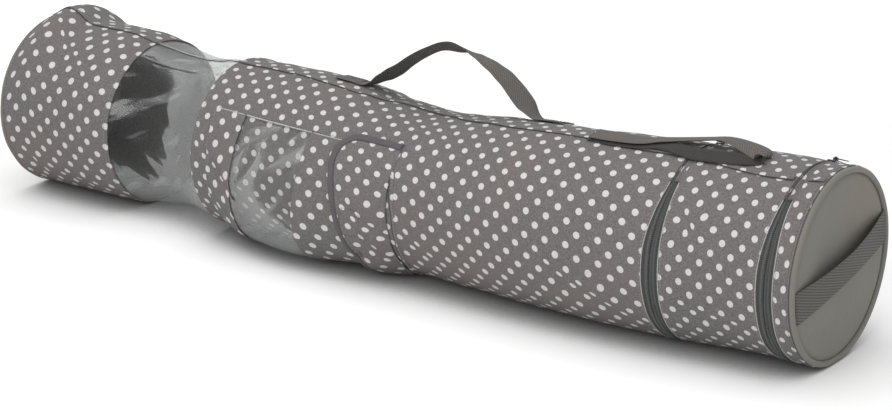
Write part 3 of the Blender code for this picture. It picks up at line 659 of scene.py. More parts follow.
def grid(name, us, vs, place, uv_of, materials, flip=False):
    """A surface over two lists of coordinates."""
    columns = len(vs)
    verts = [place(u, v) for u in us for v in vs]
    faces = []
    uvs = []
    for row in range(len(us) - 1):
        for column in range(columns - 1):
            corners = [(row, column), (row + 1, column), (row + 1, column + 1), (row, column + 1)]
            if flip:
                corners.reverse()
            faces.append([r * columns + c for r, c in corners])
            uvs.extend(uv_of(us[r], vs[c]) for r, c in corners)
    return new_mesh(name, verts, faces, uvs, materials)


def sheet(name, us, vs, place, uv_of, materials, thickness, flip=False):
    """A grid with real thickness; a second material goes on its back."""
    item = grid(name, us, vs, place, uv_of, materials, flip)
    thicken(item, thickness, back_material=len(materials) - 1)
    return item


def ring_faces(count, size, first=0, closed=False):
    """Faces that join rings of vertices in a row, with caps on open ends."""
    faces = []
    for index in range(count if closed else count - 1):
        here = first + index * size
        ahead = first + (index + 1) % count * size
        for side in range(size):
            beside = (side + 1) % size
            faces.append((here + side, ahead + side, ahead + beside, here + beside))
    if not closed:
        last = first + (count - 1) * size
        faces.append([first + side for side in range(size)])
        faces.append([last + side for side in range(size)][::-1])
    return faces


def swept(name, verts, runs, acrosses, materials, closed_run=None):
    """Rings of vertices joined into one shell; its map runs along it and across it."""
    size = len(acrosses) - 1
    closed = closed_run is not None
    ends = [*runs, closed_run] if closed else runs
    uvs = []
    for run, next_run in zip(ends, ends[1:]):
        for low, high in zip(acrosses, acrosses[1:]):
            uvs += ((run, low), (next_run, low), (next_run, high), (run, high))
    if not closed:
        uvs += [(0.0, 0.0)] * (2 * size)
    faces = ring_faces(len(runs), size, closed=closed)
    return new_mesh(name, verts, faces, uvs, materials)


def tube_mesh(name, points, radius, material, sides=BEAD_SIDES, closed=False):
    """A round bead along a list of points."""
    count = len(points)
    verts = []
    side_axis = None
    for index, point in enumerate(points):
        if closed:
            ahead = points[(index + 1) % count] - points[index - 1]
        else:
            ahead = points[min(count - 1, index + 1)] - points[max(0, index - 1)]
        ahead.normalize()
        if side_axis is None:
            helper = Vector((0, 0, 1)) if abs(ahead.z) < 0.9 else Vector((0, 1, 0))
            side_axis = ahead.cross(helper).normalized()
        side_axis = (side_axis - ahead * side_axis.dot(ahead)).normalized()
        other = ahead.cross(side_axis)
        verts += [point + (side_axis * math.cos(turn) + other * math.sin(turn)) * radius
                  for turn in circle(sides)]
    runs = running_lengths(points)
    acrosses = [2 * math.pi * radius * side / sides for side in range(sides + 1)]
    item = swept(name, verts, runs, acrosses, [material], runs[-1] + radius if closed else None)
    flip_outwards(item)
    return item


def ribbon(name, points, sideways, width, material, under):
    """Webbing along points, with a width direction at each and rounded selvages."""
    count = len(points)
    verts = []
    for index, point in enumerate(points):
        ahead = (points[min(count - 1, index + 1)] - points[max(0, index - 1)]).normalized()
        across = sideways[index] - ahead * sideways[index].dot(ahead)
        across.normalize()
        out = across.cross(ahead).normalized()
        profile = [(across * (width / 2 * share), out * (WEBBING / 2 * rise))
                   for share, rise in zip(SELVAGE_SHARES, CROWN_SHARES)]
        verts += [point + aside + rise for aside, rise in profile]
        verts += [point + aside - rise for aside, rise in profile[-2:0:-1]]
    acrosses = [width / 2 * share for share in SELVAGE_SHARES + SELVAGE_SHARES[-2::-1]]
    item = swept(name, verts, running_lengths(points), acrosses, [material, under])
    upper = len(SELVAGE_SHARES) - 1
    for index, face in enumerate(item.data.polygons):
        face.material_index = int(index % (2 * upper) >= upper)
    flip_outwards(item)
    return item


def stitches(name, route, material, radius=THREAD):
    """Separate stitches along a route of points with outward directions, as one mesh."""
    points = [point for point, _ in route]
    outs = [out for _, out in route]
    lengths = running_lengths(points)
    verts = []
    faces = []
    segment = 0

    def at(distance):
        nonlocal segment
        while segment < len(lengths) - 2 and lengths[segment + 1] < distance:
            segment += 1
        span = lengths[segment + 1] - lengths[segment]
        share = (distance - lengths[segment]) / span if span else 0.0
        point = points[segment].lerp(points[segment + 1], share)
        out = outs[segment].lerp(outs[segment + 1], share).normalized()
        return point, out, (points[segment + 1] - points[segment]).normalized()

    position = STITCH_GAP
    while position + STITCH < lengths[-1]:
        faces += ring_faces(len(STITCH_RING_SHARES), BEAD_SIDES, first=len(verts))
        for share, size, rise in STITCH_RING_SHARES:
            point, out, ahead = at(position + STITCH * share)
            side_axis = ahead.cross(out).normalized()
            centre = point + out * (radius * rise)
            verts += [centre + (side_axis * math.cos(turn) + out * math.sin(turn)) * (radius * size)
                      for turn in circle(BEAD_SIDES)]
        position += STITCH + STITCH_GAP
    uvs = [(0.0, 0.0)] * sum(len(face) for face in faces)
    item = new_mesh(name, verts, faces, uvs, [material])
    flip_outwards(item)
    return item


def join(name, items):
    """Join several mesh objects into one."""
    bpy.ops.object.select_all(action="DESELECT")
    for item in items:
        item.select_set(True)
    bpy.context.view_layer.objects.active = items[0]
    bpy.ops.object.join()
    items[0].name = name
    items[0].data.name = name
    return items[0]


# How pieces ride on their bodies


def hand_over(item, body, slot, *nodes):
    """Let a piece ride on its body and stand for CAD nodes."""
    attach(item, body)
    if nodes:
        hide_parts(*nodes)


def blend_over(item, centre, bodies):
    """Bake a sewn piece's transform into its mesh; it is not bent between the two bodies."""
    before, after = bodies
    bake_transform(item)


def repaint(node, material):
    """Give a carried-over CAD node a finer material."""
    for holder in frame["nodes"][node].material_slots:
        holder.material = material


# Materials


class Nodes:
    """Short ways to add nodes to one node tree."""

    def __init__(self, tree):
        self.tree = tree

    def link(self, value, socket):
        """Feed a socket from another one, or set its own value."""
        if isinstance(value, bpy.types.NodeSocket):
            self.tree.links.new(value, socket)
        else:
            socket.default_value = value

    def add(self, kind, inputs=None, **settings):
        """A node of a kind, with its settings and what goes into its sockets."""
        node = self.tree.nodes.new("ShaderNode" + kind)
        for name, value in settings.items():
            setattr(node, name, value)
        for socket, value in (inputs or {}).items():
            self.link(value, node.inputs[socket])
        return node

    def math(self, operation, *values):
        return self.add("Math", dict(enumerate(values)), operation=operation).outputs[0]

    def sum_of(self, first, share, second):
        """One value times a share, plus another value."""
        return self.math("MULTIPLY_ADD", first, share, second)


class Surface(Nodes):
    """The node tree of one material, around its shader."""

    def __init__(self, name):
        self.material = bpy.data.materials.new(name)
        self.material.use_nodes = True
        super().__init__(self.material.node_tree)
        self.shader = self.tree.nodes["Principled BSDF"]
        self.output = self.tree.nodes["Material Output"]

    def uv(self):
        """The cloth's own coordinates, in metres."""
        place = self.add("UVMap", uv_map="cloth")
        return self.add("SeparateXYZ", {0: place.outputs[0]}).outputs[:2]

    def noise(self, scale, detail, roughness, coordinates=None):
        if coordinates is None:
            coordinates = self.add("TexCoord").outputs["Object"]
        inputs = {"Scale": scale, "Detail": detail, "Roughness": roughness,
                  "Vector": coordinates}
        return self.add("TexNoise", inputs).outputs["Fac"]

    def mix(self, factor, first, second):
        inputs = {"Factor": factor, "A": first, "B": second}
        return self.add("Mix", inputs, data_type="RGBA").outputs["Result"]

    def remap(self, value, low, high, to_low=0.0, to_high=1.0):
        inputs = {"Value": value, "From Min": low, "From Max": high, "To Min": to_low,
                  "To Max": to_high}
        return self.add("MapRange", inputs, interpolation_type="SMOOTHSTEP").outputs["Result"]

    def bump(self, height, strength, distance):
        node = self.add("Bump", {"Strength": strength, "Distance": distance, "Height": height})
        self.link(node.outputs["Normal"], self.shader.inputs["Normal"])
        return node.outputs["Normal"]

    def colour(self, value):
        self.link(value, self.shader.inputs["Base Color"])

    def finish(self, roughness, metallic=0.0, sheen=0.0, specular=0.5):
        self.shader.inputs["Roughness"].default_value = roughness
        self.shader.inputs["Metallic"].default_value = metallic
        self.shader.inputs["Sheen Weight"].default_value = sheen
        self.shader.inputs["Specular IOR Level"].default_value = specular
        return self.material


def shade(colour, factor):
    """A colour made lighter or darker."""
    return (*(channel * factor for channel in colour), 1)


def weave_height(nodes, u, v, pitch):
    """Plain weave: threads over and under each other, from 0 to 1."""
    turn = 2 * math.pi / pitch
    across = nodes.math("SINE", nodes.math("MULTIPLY", u, turn))
    along = nodes.math("SINE", nodes.math("MULTIPLY", v, turn))
    return nodes.sum_of(nodes.math("MULTIPLY", across, along), 0.5, 0.5)


def twill_height(nodes, u, v, pitch):
    """Twill: slanting ribs, each broken into short threads."""
    turn = 2 * math.pi / pitch
    ribs = nodes.math("SINE", nodes.math("MULTIPLY", nodes.sum_of(u, 0.51, v), turn))
    crossing = nodes.sum_of(u, 0.9, nodes.math("MULTIPLY", v, -0.5))
    threads = nodes.math("SINE", nodes.math("MULTIPLY", crossing, turn / 2))
    broken = nodes.math("MULTIPLY", ribs, nodes.sum_of(threads, 0.4, 0.6))
    return nodes.sum_of(broken, 0.5, 0.5)


def dot_mask(nodes, u, v, fine):
    """1 inside the printed dots, with slightly ragged edges."""
    p = nodes.math("DIVIDE", nodes.math("ADD", u, v), DOT_PITCH)
    q = nodes.math("DIVIDE", nodes.math("SUBTRACT", u, v), DOT_PITCH)
    offset_p = nodes.math("SUBTRACT", p, nodes.math("ROUND", p))
    offset_q = nodes.math("SUBTRACT", q, nodes.math("ROUND", q))
    square = nodes.sum_of(offset_p, offset_p, nodes.math("MULTIPLY", offset_q, offset_q))
    away = nodes.math("MULTIPLY", nodes.math("SQRT", square), DOT_PITCH / math.sqrt(2))
    ragged = nodes.sum_of(fine, 2 * DOT_EDGE, nodes.math("SUBTRACT", away, DOT_EDGE))
    return nodes.remap(ragged, DOT_RADIUS - DOT_EDGE, DOT_RADIUS + DOT_EDGE, 1.0, 0.0)


def fabric(name, colour, pitch=0.0009, dots=None, roughness=0.85, sheen=0.04, mottle=0.30):
    """Woven polyester, with a lattice of printed dots where a dot colour is given."""
    nodes = Surface(name)
    u, v = nodes.uv()
    weave = weave_height(nodes, u, v, pitch)
    fine = nodes.noise(560, 3.0, 0.7)
    broad = nodes.noise(9, 3.0, 0.5)
    speckle = nodes.remap(fine, 0.30, 0.70)
    ground = nodes.mix(speckle, shade(colour, 1 - mottle), shade(colour, 1 + mottle))
    ground = nodes.mix(nodes.math("MULTIPLY", weave, 0.35), ground, shade(colour, 0.72))
    warm = (colour[0] * 1.10, colour[1] * 0.98, colour[2] * 0.93, 1)
    ground = nodes.mix(nodes.remap(broad, 0.45, 0.75, 0.0, 0.55), ground, warm)
    if dots:
        ink = nodes.mix(speckle, shade(dots, 0.90), shade(dots, 1.06))
        ground = nodes.mix(dot_mask(nodes, u, v, fine), ground, ink)
    nodes.colour(ground)
    nodes.bump(nodes.sum_of(fine, 0.5, weave), 0.35, 0.0002)
    return nodes.finish(roughness, sheen=sheen, specular=0.2)


def webbing(name, colour, pitch=0.0034, contrast=0.5, height_of=weave_height):
    """Coarse woven webbing with raised threads, painted lighter on the raised threads and darker in
    the hollows as painted light and shade.
    """
    nodes = Surface(name)
    u, v = nodes.uv()
    weave = height_of(nodes, u, v, pitch)
    fine = nodes.noise(700, 3.0, 0.6)
    # Painted light and shade: raised threads lighter, hollows darker
    ground = nodes.mix(weave, shade(colour, 1 - contrast), shade(colour, 1 + contrast * 0.6))
    nodes.colour(nodes.mix(nodes.math("MULTIPLY", fine, 0.5), ground, shade(colour, 0.85)))
    nodes.bump(nodes.sum_of(fine, 0.3, weave), 0.9, 0.0006)
    return nodes.finish(0.8, sheen=0.05, specular=0.2)


def zip_tape_with_painted_shade(name, colour):
    """Zip tape with ridges along it and fine ribs across it; its colour follows their height, with
    painted light on the ridges and painted shade in the furrows.
    """
    nodes = Surface(name)
    u, v = nodes.uv()
    ridges = nodes.math("COSINE", nodes.math("MULTIPLY", u, 2 * math.pi / TAPE_RIDGE_PITCH))
    ribs = nodes.math("SINE", nodes.math("MULTIPLY", v, 2 * math.pi / TAPE_RIB_PITCH))
    height = nodes.sum_of(ridges, -0.36, nodes.sum_of(ribs, 0.14, 0.5))
    fine = nodes.noise(700, 3.0, 0.6)
    # Painted light and shade: lighter on the ridges, darker in the furrows, by the bump's height
    ground = nodes.mix(height, shade(colour, 0.30), shade(colour, 1.9))
    nodes.colour(nodes.mix(nodes.math("MULTIPLY", fine, 0.4), ground, shade(colour, 0.7)))
    nodes.bump(height, 0.8, 0.0004)
    return nodes.finish(0.75, sheen=0.05, specular=0.3)


def clear_vinyl(name):
    """Thin clear sheet with gloss, a faint haze and fine creases."""
    nodes = Surface(name)
    u, v = nodes.uv()
    haze = nodes.noise(28, 4.0, 0.6)
    creases = nodes.noise(60, 5.0, 0.55)
    stretch = nodes.add("CombineXYZ", {
        0: nodes.sum_of(u, 9.0, nodes.math("MULTIPLY", v, 6.0)),
        1: nodes.sum_of(v, 34.0, nodes.math("MULTIPLY", u, -26.0))})
    streaks = nodes.noise(1.0, 3.0, 0.6, stretch.outputs[0])
    nodes.colour((0.60, 0.61, 0.61, 1))
    normal = nodes.bump(nodes.math("ADD", haze, creases), 0.5, 0.0016)
    nodes.finish(0.08, specular=1.0)
    clear = nodes.add("BsdfTransparent", {"Color": (0.975, 0.978, 0.975, 1)})
    fresnel = nodes.add("LayerWeight", {"Blend": 0.30, "Normal": normal})
    amount = nodes.sum_of(fresnel.outputs["Fresnel"], 0.34, 0.012)
    amount = nodes.sum_of(nodes.remap(streaks, 0.54, 0.68), 0.12, amount)
    blend = nodes.add("MixShader", {0: nodes.math("MINIMUM", amount, 0.5),
                                    1: clear.outputs[0], 2: nodes.shader.outputs[0]})
    nodes.link(blend.outputs[0], nodes.output.inputs[0])
    return nodes.material


def plain(name, colour, roughness, metallic=0.0, grain=500):
    """Moulded or painted surface with fine grain and slight wear."""
    nodes = Surface(name)
    fine = nodes.noise(grain, 3.0, 0.6)
    broad = nodes.noise(40, 3.0, 0.5)
    nodes.colour(nodes.mix(broad, shade(colour, 0.86), shade(colour, 1.12)))
    nodes.link(nodes.remap(fine, 0.3, 0.7, roughness - 0.06, roughness + 0.06),
               nodes.shader.inputs["Roughness"])
    nodes.bump(fine, 0.3, 0.0001)
    return nodes.finish(roughness, metallic)


dotted = fabric("dotted_fabric", GREY, dots=DOTS)
lining = fabric("fabric_reverse", (0.19, 0.185, 0.18), roughness=0.9)
# Pale colour for beads along folded edges: a painted highlight
hem_highlight = fabric("hem_highlight_cloth", (0.40, 0.39, 0.385), pitch=0.0007, roughness=0.8)
olive_cloth = fabric("olive_cloth", OLIVE, pitch=0.0007, roughness=0.62, sheen=0.1, mottle=0.07)
binding_cloth = fabric("purple_binding", (0.098, 0.090, 0.098), pitch=0.0006, roughness=0.75,
                       mottle=0.1)
hook_tape = fabric("hook_tape_cloth", (0.085, 0.082, 0.085), pitch=0.0014, roughness=0.95)
olive_webbing = webbing("olive_webbing", (0.122, 0.112, 0.103))
# Darker copy of the olive webbing for one face of the arch: painted shade
arch_painted_shade_webbing = webbing("arch_painted_shade_webbing", (0.088, 0.081, 0.078))
# Much darker copy of the olive webbing for one face of the loop: painted shade
loop_painted_shade_webbing = webbing("loop_painted_shade_webbing", (0.040, 0.036, 0.034))
coarse_webbing = webbing("lid_webbing", (0.118, 0.110, 0.103), pitch=0.0033, contrast=0.85,
                         height_of=twill_height)
tape_cloth = zip_tape_with_painted_shade("zip_tape_cloth", (0.066, 0.069, 0.069))
coil_plastic = plain("zip_coil_nylon", (0.085, 0.089, 0.088), 0.40)
zip_metal = plain("zip_dark_metal", (0.055, 0.053, 0.050), 0.34, 0.85)
vinyl = clear_vinyl("clear_vinyl_sheet")
board_card = plain("grey_board", (0.36, 0.35, 0.33), 0.8, grain=200)
thread = plain("grey_thread", (0.26, 0.25, 0.248), 0.75)
# Dark thread for stitches and end bars; the same colour on the groove beads is painted shade
dark_thread_and_groove_shade = plain("dark_thread_and_groove_shade", (0.045, 0.042, 0.045), 0.8)

REPAINTED = {"base_board": board_card, "lid_board": board_card, "section_divider": board_card,
             "zip_1_slider": zip_metal, "zip_1_pull": zip_metal, "zip_2_slider": zip_metal,
             "zip_2_pull": zip_metal}


# Sewn rows, beads and panels


def sew(name, route, body, slot="dotted_fabric", material=thread, radius=THREAD):
    """A row of stitches that rides on a body."""
    hand_over(stitches(name, route, material, radius), body, slot)


def bead(name, points, radius, body, slot="dotted_fabric", material=dark_thread_and_groove_shade):
    """A thin bead that rides on a body; its default dark colour paints the shade in a groove."""
    hand_over(tube_mesh(name, points, radius, material), body, slot)


def edge_stitches(name, x):
    """A row of stitches all round the root's cloth at a station."""
    row = [(x, angle) for angle in steps(SEAM_ANGLE, SEAM_ANGLE + 360, ROW_ANGLE_STEP)]
    sew(name, skin_route(row, 0.0001), "root")


def hem_lift(distance, reach=HEM_REACH):
    """Rounded swell of a turned hem, by the distance from its edge."""
    if distance > reach:
        return 0.0
    return HEM_RISE * math.sin(min(1.0, max(0.0, distance) / reach * 0.9 + 0.1) * math.pi)


def panel(name, start, end, lattice, body, *nodes):
    """A dotted panel round the bag, with turned hems at its two ends."""
    mapping = cloth_map(lattice)

    def beside_seam(x, angle):
        return angle + seam_angle(x) - SEAM_ANGLE

    def place(x, angle):
        return skin(x, beside_seam(x, angle), hem_lift(x - start) + hem_lift(end - x))

    def uv_of(x, angle):
        return mapping(x, beside_seam(x, angle))
    angles = steps(SEAM_ANGLE, SEAM_ANGLE + 360, ANGLE_STEP)
    item = sheet(name, edge_steps(start, end, STEP), angles, place, uv_of, [dotted, lining],
                 FABRIC)
    hand_over(item, body, "dotted_fabric", *nodes)


def sleeve():
    """Dotted band between the base end and the window."""
    panel("base_sleeve_cloth", SLEEVE_START, SLEEVE_END, "sleeve", "root", "base_sleeve")
    edge_stitches("sleeve_stitches", SLEEVE_END - HEM_STITCH_AT)


def body_tube():
    """Long dotted tube between the window and the first zip."""
    panel("body_cloth", WINDOW_END, ZIP_1_AT - TAPE_WIDTH / 2, "body", "root", "body_panel",
          "body_mouth_panel")
    edge_stitches("body_edge_stitches", WINDOW_END + HEM_STITCH_AT)


def ribbon_section():
    """Dotted band between the zips."""
    half = TAPE_WIDTH / 2
    panel("section_cloth", ZIP_1_AT + half, ZIP_2_AT - half, "section", "ribbon_section",
          "section_panel")


# Window


def vinyl_relief(x, angle):
    """Tension folds of the clear band, strongest on its slack lower front."""
    around = math.radians(angle) * RADIUS
    spot = Vector((x * 20 + around * 16, around * 5 - x * 5, 3.1))
    fold = abs(noise.noise(spot))
    fine = abs(noise.noise(spot * 2.3))
    inside = ease((x - SLEEVE_END) / 0.02) * ease((WINDOW_END - x) / 0.02)
    return -inside * (0.0012 + 0.0040 * (0.35 - fold) + 0.0014 * (0.3 - fine))


def window():
    """Clear band between the sleeve and the body, tucked under both."""
    tuck = 0.008
    gap = 0.0005

    def place(x, angle):
        return skin(x, angle, vinyl_relief(x, angle) - FABRIC - gap)
    us = steps(SLEEVE_END - tuck, WINDOW_END + tuck, 0.0025)
    angles = steps(SEAM_ANGLE, SEAM_ANGLE + 360, VINYL_ANGLE_STEP)
    item = sheet("window_vinyl", us, angles, place, plain_map, [vinyl], VINYL)
    hand_over(item, "root", "clear_vinyl", "roll_window")


# Top seam


def seam_strip(name, start, end, lattice, body, *nodes):
    """A length of the long raised seam along the top, clear where it has no dots, with a dark bead
    along its low edge as painted shade under the fold.
    """
    us = steps(start, end, STEP)
    mapping = cloth_map(lattice) if lattice else plain_map
    material = dotted if lattice else vinyl
    slot = "dotted_fabric" if lattice else "clear_vinyl"

    def place(x, share):
        height = read_route(SEAM_PROFILE, share, bend=float)
        height += 0.0004 * noise.noise(Vector((x * 60, 0.3, share)))
        return skin(x, seam_angle(x) + SEAM_START_ANGLE + SEAM_WIDTH_ANGLE * share, height)

    def uv_of(x, share):
        return mapping(x, seam_angle(x) + SEAM_WIDTH_ANGLE * share)
    item = sheet(name, us, SEAM_SHARES, place, uv_of, [material], SEAM_THICKNESS)
    hand_over(item, body, slot, *nodes)
    # Dark bead along the fold's low edge: painted shade under the fold
    bead(name + "_groove", [place(x, SEAM_SHARES[1]) for x in us], SEAM_GROOVE, body, slot)
    row = [(x, seam_angle(x) + SEAM_STITCH_ANGLE) for x in steps(start, end, 0.01)]
    sew(name + "_stitches", skin_route(row, 0.0011), body, slot)


def top_seams():
    """The seam along the top, broken at the two zips."""
    gap = SEAM_GAP_AT_ZIP
    seam_strip("top_seam_sleeve", SLEEVE_START, SLEEVE_END, "sleeve", "root", "top_seam")
    seam_strip("top_seam_window", SLEEVE_END, WINDOW_END, None, "root")
    seam_strip("top_seam_body", WINDOW_END, ZIP_1_AT - gap, "body", "root")
    seam_strip("top_seam_section", ZIP_1_AT + gap, ZIP_2_AT - gap, "section", "ribbon_section",
               "section_seam")
    seam_strip("top_seam_lid", ZIP_2_AT + gap, LENGTH - 2 * PIPING_RADIUS, "lid", "lid",
               "lid_seam")


# Zips and the uncut strips over them


def zip_tape(zip_name, panel_name, centre, side, body):
    """One half of a zip's tape, with its woven ridges."""
    name = f"{zip_name}_{panel_name}_tape"
    rises = dict(TAPE_PROFILE)

    def place(offset, angle):
        return skin(centre + side * offset, angle, rises[offset] + TAPE_LIFT)
    angles = steps(ZIP_BACK_ANGLE, ZIP_FRONT_ANGLE + 360, VINYL_ANGLE_STEP)
    item = sheet(name + "_cloth", list(rises), angles, place, plain_map, [tape_cloth], TAPE,
                 flip=side < 0)
    hand_over(item, body, "zip_tape", name)


def zip_coil(zip_name, panel_name, centre, side, body):
    """A nylon coil: a flattened helix whose turns mesh with the other row's."""
    low = ZIP_BACK_ANGLE + COIL_END_ANGLE
    high = ZIP_FRONT_ANGLE + 360 - COIL_END_ANGLE
    count = round(math.radians(high - low) * RADIUS / COIL_PITCH) * POINTS_PER_TURN
    points = []
    for index in range(count + 1):
        phase = 2 * math.pi * index / POINTS_PER_TURN + (0 if side > 0 else math.pi)
        x = centre + side * COIL_AT + COIL_HALF_WIDTH * math.cos(phase)
        height = COIL_LIFT + COIL_HALF_HEIGHT * math.sin(phase)
        points.append(skin(x, low + (high - low) * index / count, height))
    item = tube_mesh(f"{zip_name}_{panel_name}_coil", points, COIL_WIRE, coil_plastic, sides=5)
    hand_over(item, body, "zip_coil", f"{zip_name}_{panel_name}_teeth")


def zip_hem(zip_name, panel_name, centre, side, body):
    """Edge of the fabric that is turned under along the tape, and its stitching; a pale lip bead
    along the fold paints its highlight.
    """
    name = f"{zip_name}_{panel_name}_hem"
    edge = centre + side * TAPE_WIDTH / 2
    angles = steps(ZIP_BACK_ANGLE, ZIP_FRONT_ANGLE + 360, ROW_ANGLE_STEP)
    row = [(edge + side * ZIP_STITCH_AT, angle) for angle in angles]
    sew(name + "_stitches", skin_route(row, 0.0004), body)
    # Pale lip bead: painted highlight along the hem's fold
    lip = [skin(edge - side * 0.0001, angle, 0.0006) for angle in angles]
    bead(name + "_lip", lip, ZIP_LIP, body, material=hem_highlight)


def uncut_strip(name, centre, lattices, bodies):
    """The fabric over the top between the zip's two ends, baked in place; it is not made to bend
    when the zip opens.
    """
    half = TAPE_WIDTH / 2
    angles = steps(ZIP_FRONT_ANGLE, ZIP_BACK_ANGLE, ANGLE_STEP)

    def place(x, angle):
        ridge = STRIP_RIDGE * bump(x, centre, STRIP_RIDGE_REACH)
        sunk = sum(bump(x, centre + at, STRIP_SINK_REACH) for at in (-STRIP_SINK_AT, STRIP_SINK_AT))
        return skin(x, angle, ridge - STRIP_SINK * sunk)
    starts = (centre - half, centre)
    halves = [grid(name, steps(start, start + half, STRIP_STEP), angles, place,
                   cloth_map(lattice), [dotted, lining])
              for start, lattice in zip(starts, lattices)]
    item = join(name, halves)
    weld(item)
    thicken(item, FABRIC, back_material=1)
    blend_over(item, centre, bodies)
    angles = steps(ZIP_FRONT_ANGLE - 1, ZIP_BACK_ANGLE + 1, ROW_ANGLE_STEP)
    row = [(centre + STRIP_STITCH_AT, angle) for angle in angles]
    # Two dark beads paint the shade in the strip's grooves
    lines = [tube_mesh(name + "_groove", [skin(centre + offset, angle) for angle in angles],
                       STRIP_GROOVE, dark_thread_and_groove_shade) for offset in STRIP_GROOVES_AT]
    lines.append(stitches(name + "_stitches", skin_route(row), thread))
    for line in lines:
        blend_over(line, centre, bodies)


def end_bars(name, centre, bodies):
    """Dark bars of thread across the two ends of a zip."""
    half = TAPE_WIDTH / 2 - 0.001
    for end, angle in (("front", ZIP_FRONT_ANGLE), ("back", ZIP_BACK_ANGLE)):
        route = [skin(x, angle, END_BAR_LIFT) for x in steps(centre - half, centre + half, 0.001)]
        item = tube_mesh(f"{name}_{end}_end_bar", route, END_BAR, dark_thread_and_groove_shade)
        blend_over(item, centre, bodies)


def zips():
    """Both zips, each with its two sides, the strip over it and its end bars."""
    for make in (zip_tape, zip_coil, zip_hem):
        for zip_side in ZIP_SIDES:
            make(*zip_side)
    for name, centre, lattices, bodies in ZIP_HINGES:
        uncut_strip(name + "_uncut_strip", centre, lattices, bodies)
    for name, centre, _, bodies in ZIP_HINGES:
        end_bars(name, centre, bodies)


# Round ends


def round_end(name, at, inwards, body):
    """Corded edge, its seam and the fabric disc of one end; inwards is 1 or -1 along X."""
    angles = steps(0, 360, ROW_ANGLE_STEP)[:-1]
    ring = [skin(at + inwards * PIPING_RADIUS, angle, -PIPING_RADIUS) for angle in angles]
    for point in ring:
        point.z = max(point.z, PIPING_RADIUS)
    item = tube_mesh(name + "_piping_cord", ring, PIPING_RADIUS, olive_cloth, PIPING_SIDES,
                     closed=True)
    hand_over(item, body, "olive_fabric", name + "_piping")
    row = [(at + inwards * END_STITCH_AT, angle) for angle in angles]
    sew(name + "_edge_stitches", skin_route(row, 0.0004), body, material=dark_thread_and_groove_shade)
    disc(name, at, inwards, body)


def disc(name, at, inwards, body):
    """Soft fabric end, a little hollow, tucked behind the corded edge."""
    middle = axis_point(at)

    def place(share, angle):
        point = middle.lerp(skin(at, angle, PIPING_OVERLAP - 2 * PIPING_RADIUS), share)
        spot = Vector((point.y * DISC_SWELLS, point.z * DISC_SWELLS, at))
        swell = DISC_SWELL * noise.noise(spot) * (1 - share ** 6)
        hollow = DISC_HOLLOW * (1 - share * share)
        rolled = DISC_ROLL * max(0.0, (share - DISC_ROLL_SHARE) / (1 - DISC_ROLL_SHARE)) ** 2
        depth = DISC_SINK + hollow - swell + rolled
        return Vector((at + BASE + inwards * depth, point.y, point.z))

    def uv_of(share, angle):
        return place(share, angle).yz
    item = grid(name + "_disc_cloth", DISC_SHARES, steps(0, 360, 4), place, uv_of, [olive_cloth],
                flip=inwards > 0)
    weld(item)
    thicken(item, FABRIC)
    hand_over(item, body, "olive_fabric", name + "_disc")


def lid():
    """The lid's dotted band, its round end and its strap."""
    end = LENGTH - 2 * PIPING_RADIUS + PIPING_OVERLAP
    panel("lid_band_cloth", ZIP_2_AT + TAPE_WIDTH / 2, end, "lid", "lid", "lid_band")
    round_end("lid", LENGTH, -1, "lid")
    lid_strap()


# Handles and strap


def arch_handle():
    """The standing handle: its sewn tabs, its legs and its arch, in one length of webbing."""
    _, y, pivot_z = joint_place("arch_handle_swing")
    left_end = station("arch_handle_left_tab", 0)
    right_end = station("arch_handle_right_tab", 1)

    def on_top(x, extra=0.0):
        return skin(x, angle_at(x, y), ARCH_TAB_LIFT + extra)
    near, far = ARCH_TAB_ENDS
    turn, *rest = ARCH_RIGHT_TAB
    route = [on_top(left_end), on_top(left_end + near), on_top(left_end + far, ARCH_TURN_LIFT)]
    route += [Vector((x + BASE, y, z)) for x, z in ARCH_ROUTE]
    route += [on_top(turn, ARCH_TURN_LIFT), *(on_top(x) for x in rest), on_top(right_end)]
    points = curve_through(route)
    sideways = []
    for point in points:
        x = point.x - BASE
        flat = ease((point.z - skin(x, 90).z) / ARCH_FLAT_REACH)
        roll = read_route(ARCH_ROLL, x) * flat
        tilt = math.radians(roll + (angle_at(x, y) - 90) * (1 - flat))
        sideways.append(Vector((0, math.cos(tilt), -math.sin(tilt))))
    # One face takes the darker copy of the webbing: painted shade
    item = ribbon("arch_handle_webbing", points, sideways, ARCH_WIDTH, arch_painted_shade_webbing,
                  olive_webbing)
    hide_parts("arch_handle", "arch_handle_left_tab", "arch_handle_right_tab")
    crest = skin(ARCH_MIDDLE, 90).z
    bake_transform(item)
    margin = ARCH_STITCH_MARGIN
    tab_stitches("arch_left_tab_stitches", left_end + margin, left_end + ARCH_STITCH_BOX, y)
    tab_stitches("arch_right_tab_stitches", right_end - ARCH_STITCH_BOX, right_end - margin, y)


def tab_stitches(name, start, end, y):
    """A stitched rectangle with a cross in it, on a handle's tab."""
    half = ARCH_WIDTH / 2 - ARCH_STITCH_MARGIN
    corners = [(start, -half), (end, -half), (end, half), (start, half), (start, -half),
               (end, half), (end, -half), (start, half)]
    spots = [(x, angle_at(x, y + aside)) for x, aside in between(corners, 8)]
    height = ARCH_TAB_LIFT + WEBBING / 2 + 0.0002
    sew(name, skin_route(spots, height), "root", "olive_webbing", dark_thread_and_groove_shade, FINE_THREAD)


def between(corners, count):
    """Places along straight runs from corner to corner, a number of them on each."""
    return [(x0 + (x1 - x0) * index / count, y0 + (y1 - y0) * index / count)
            for (x0, y0), (x1, y1) in zip(corners, corners[1:]) for index in range(count)]


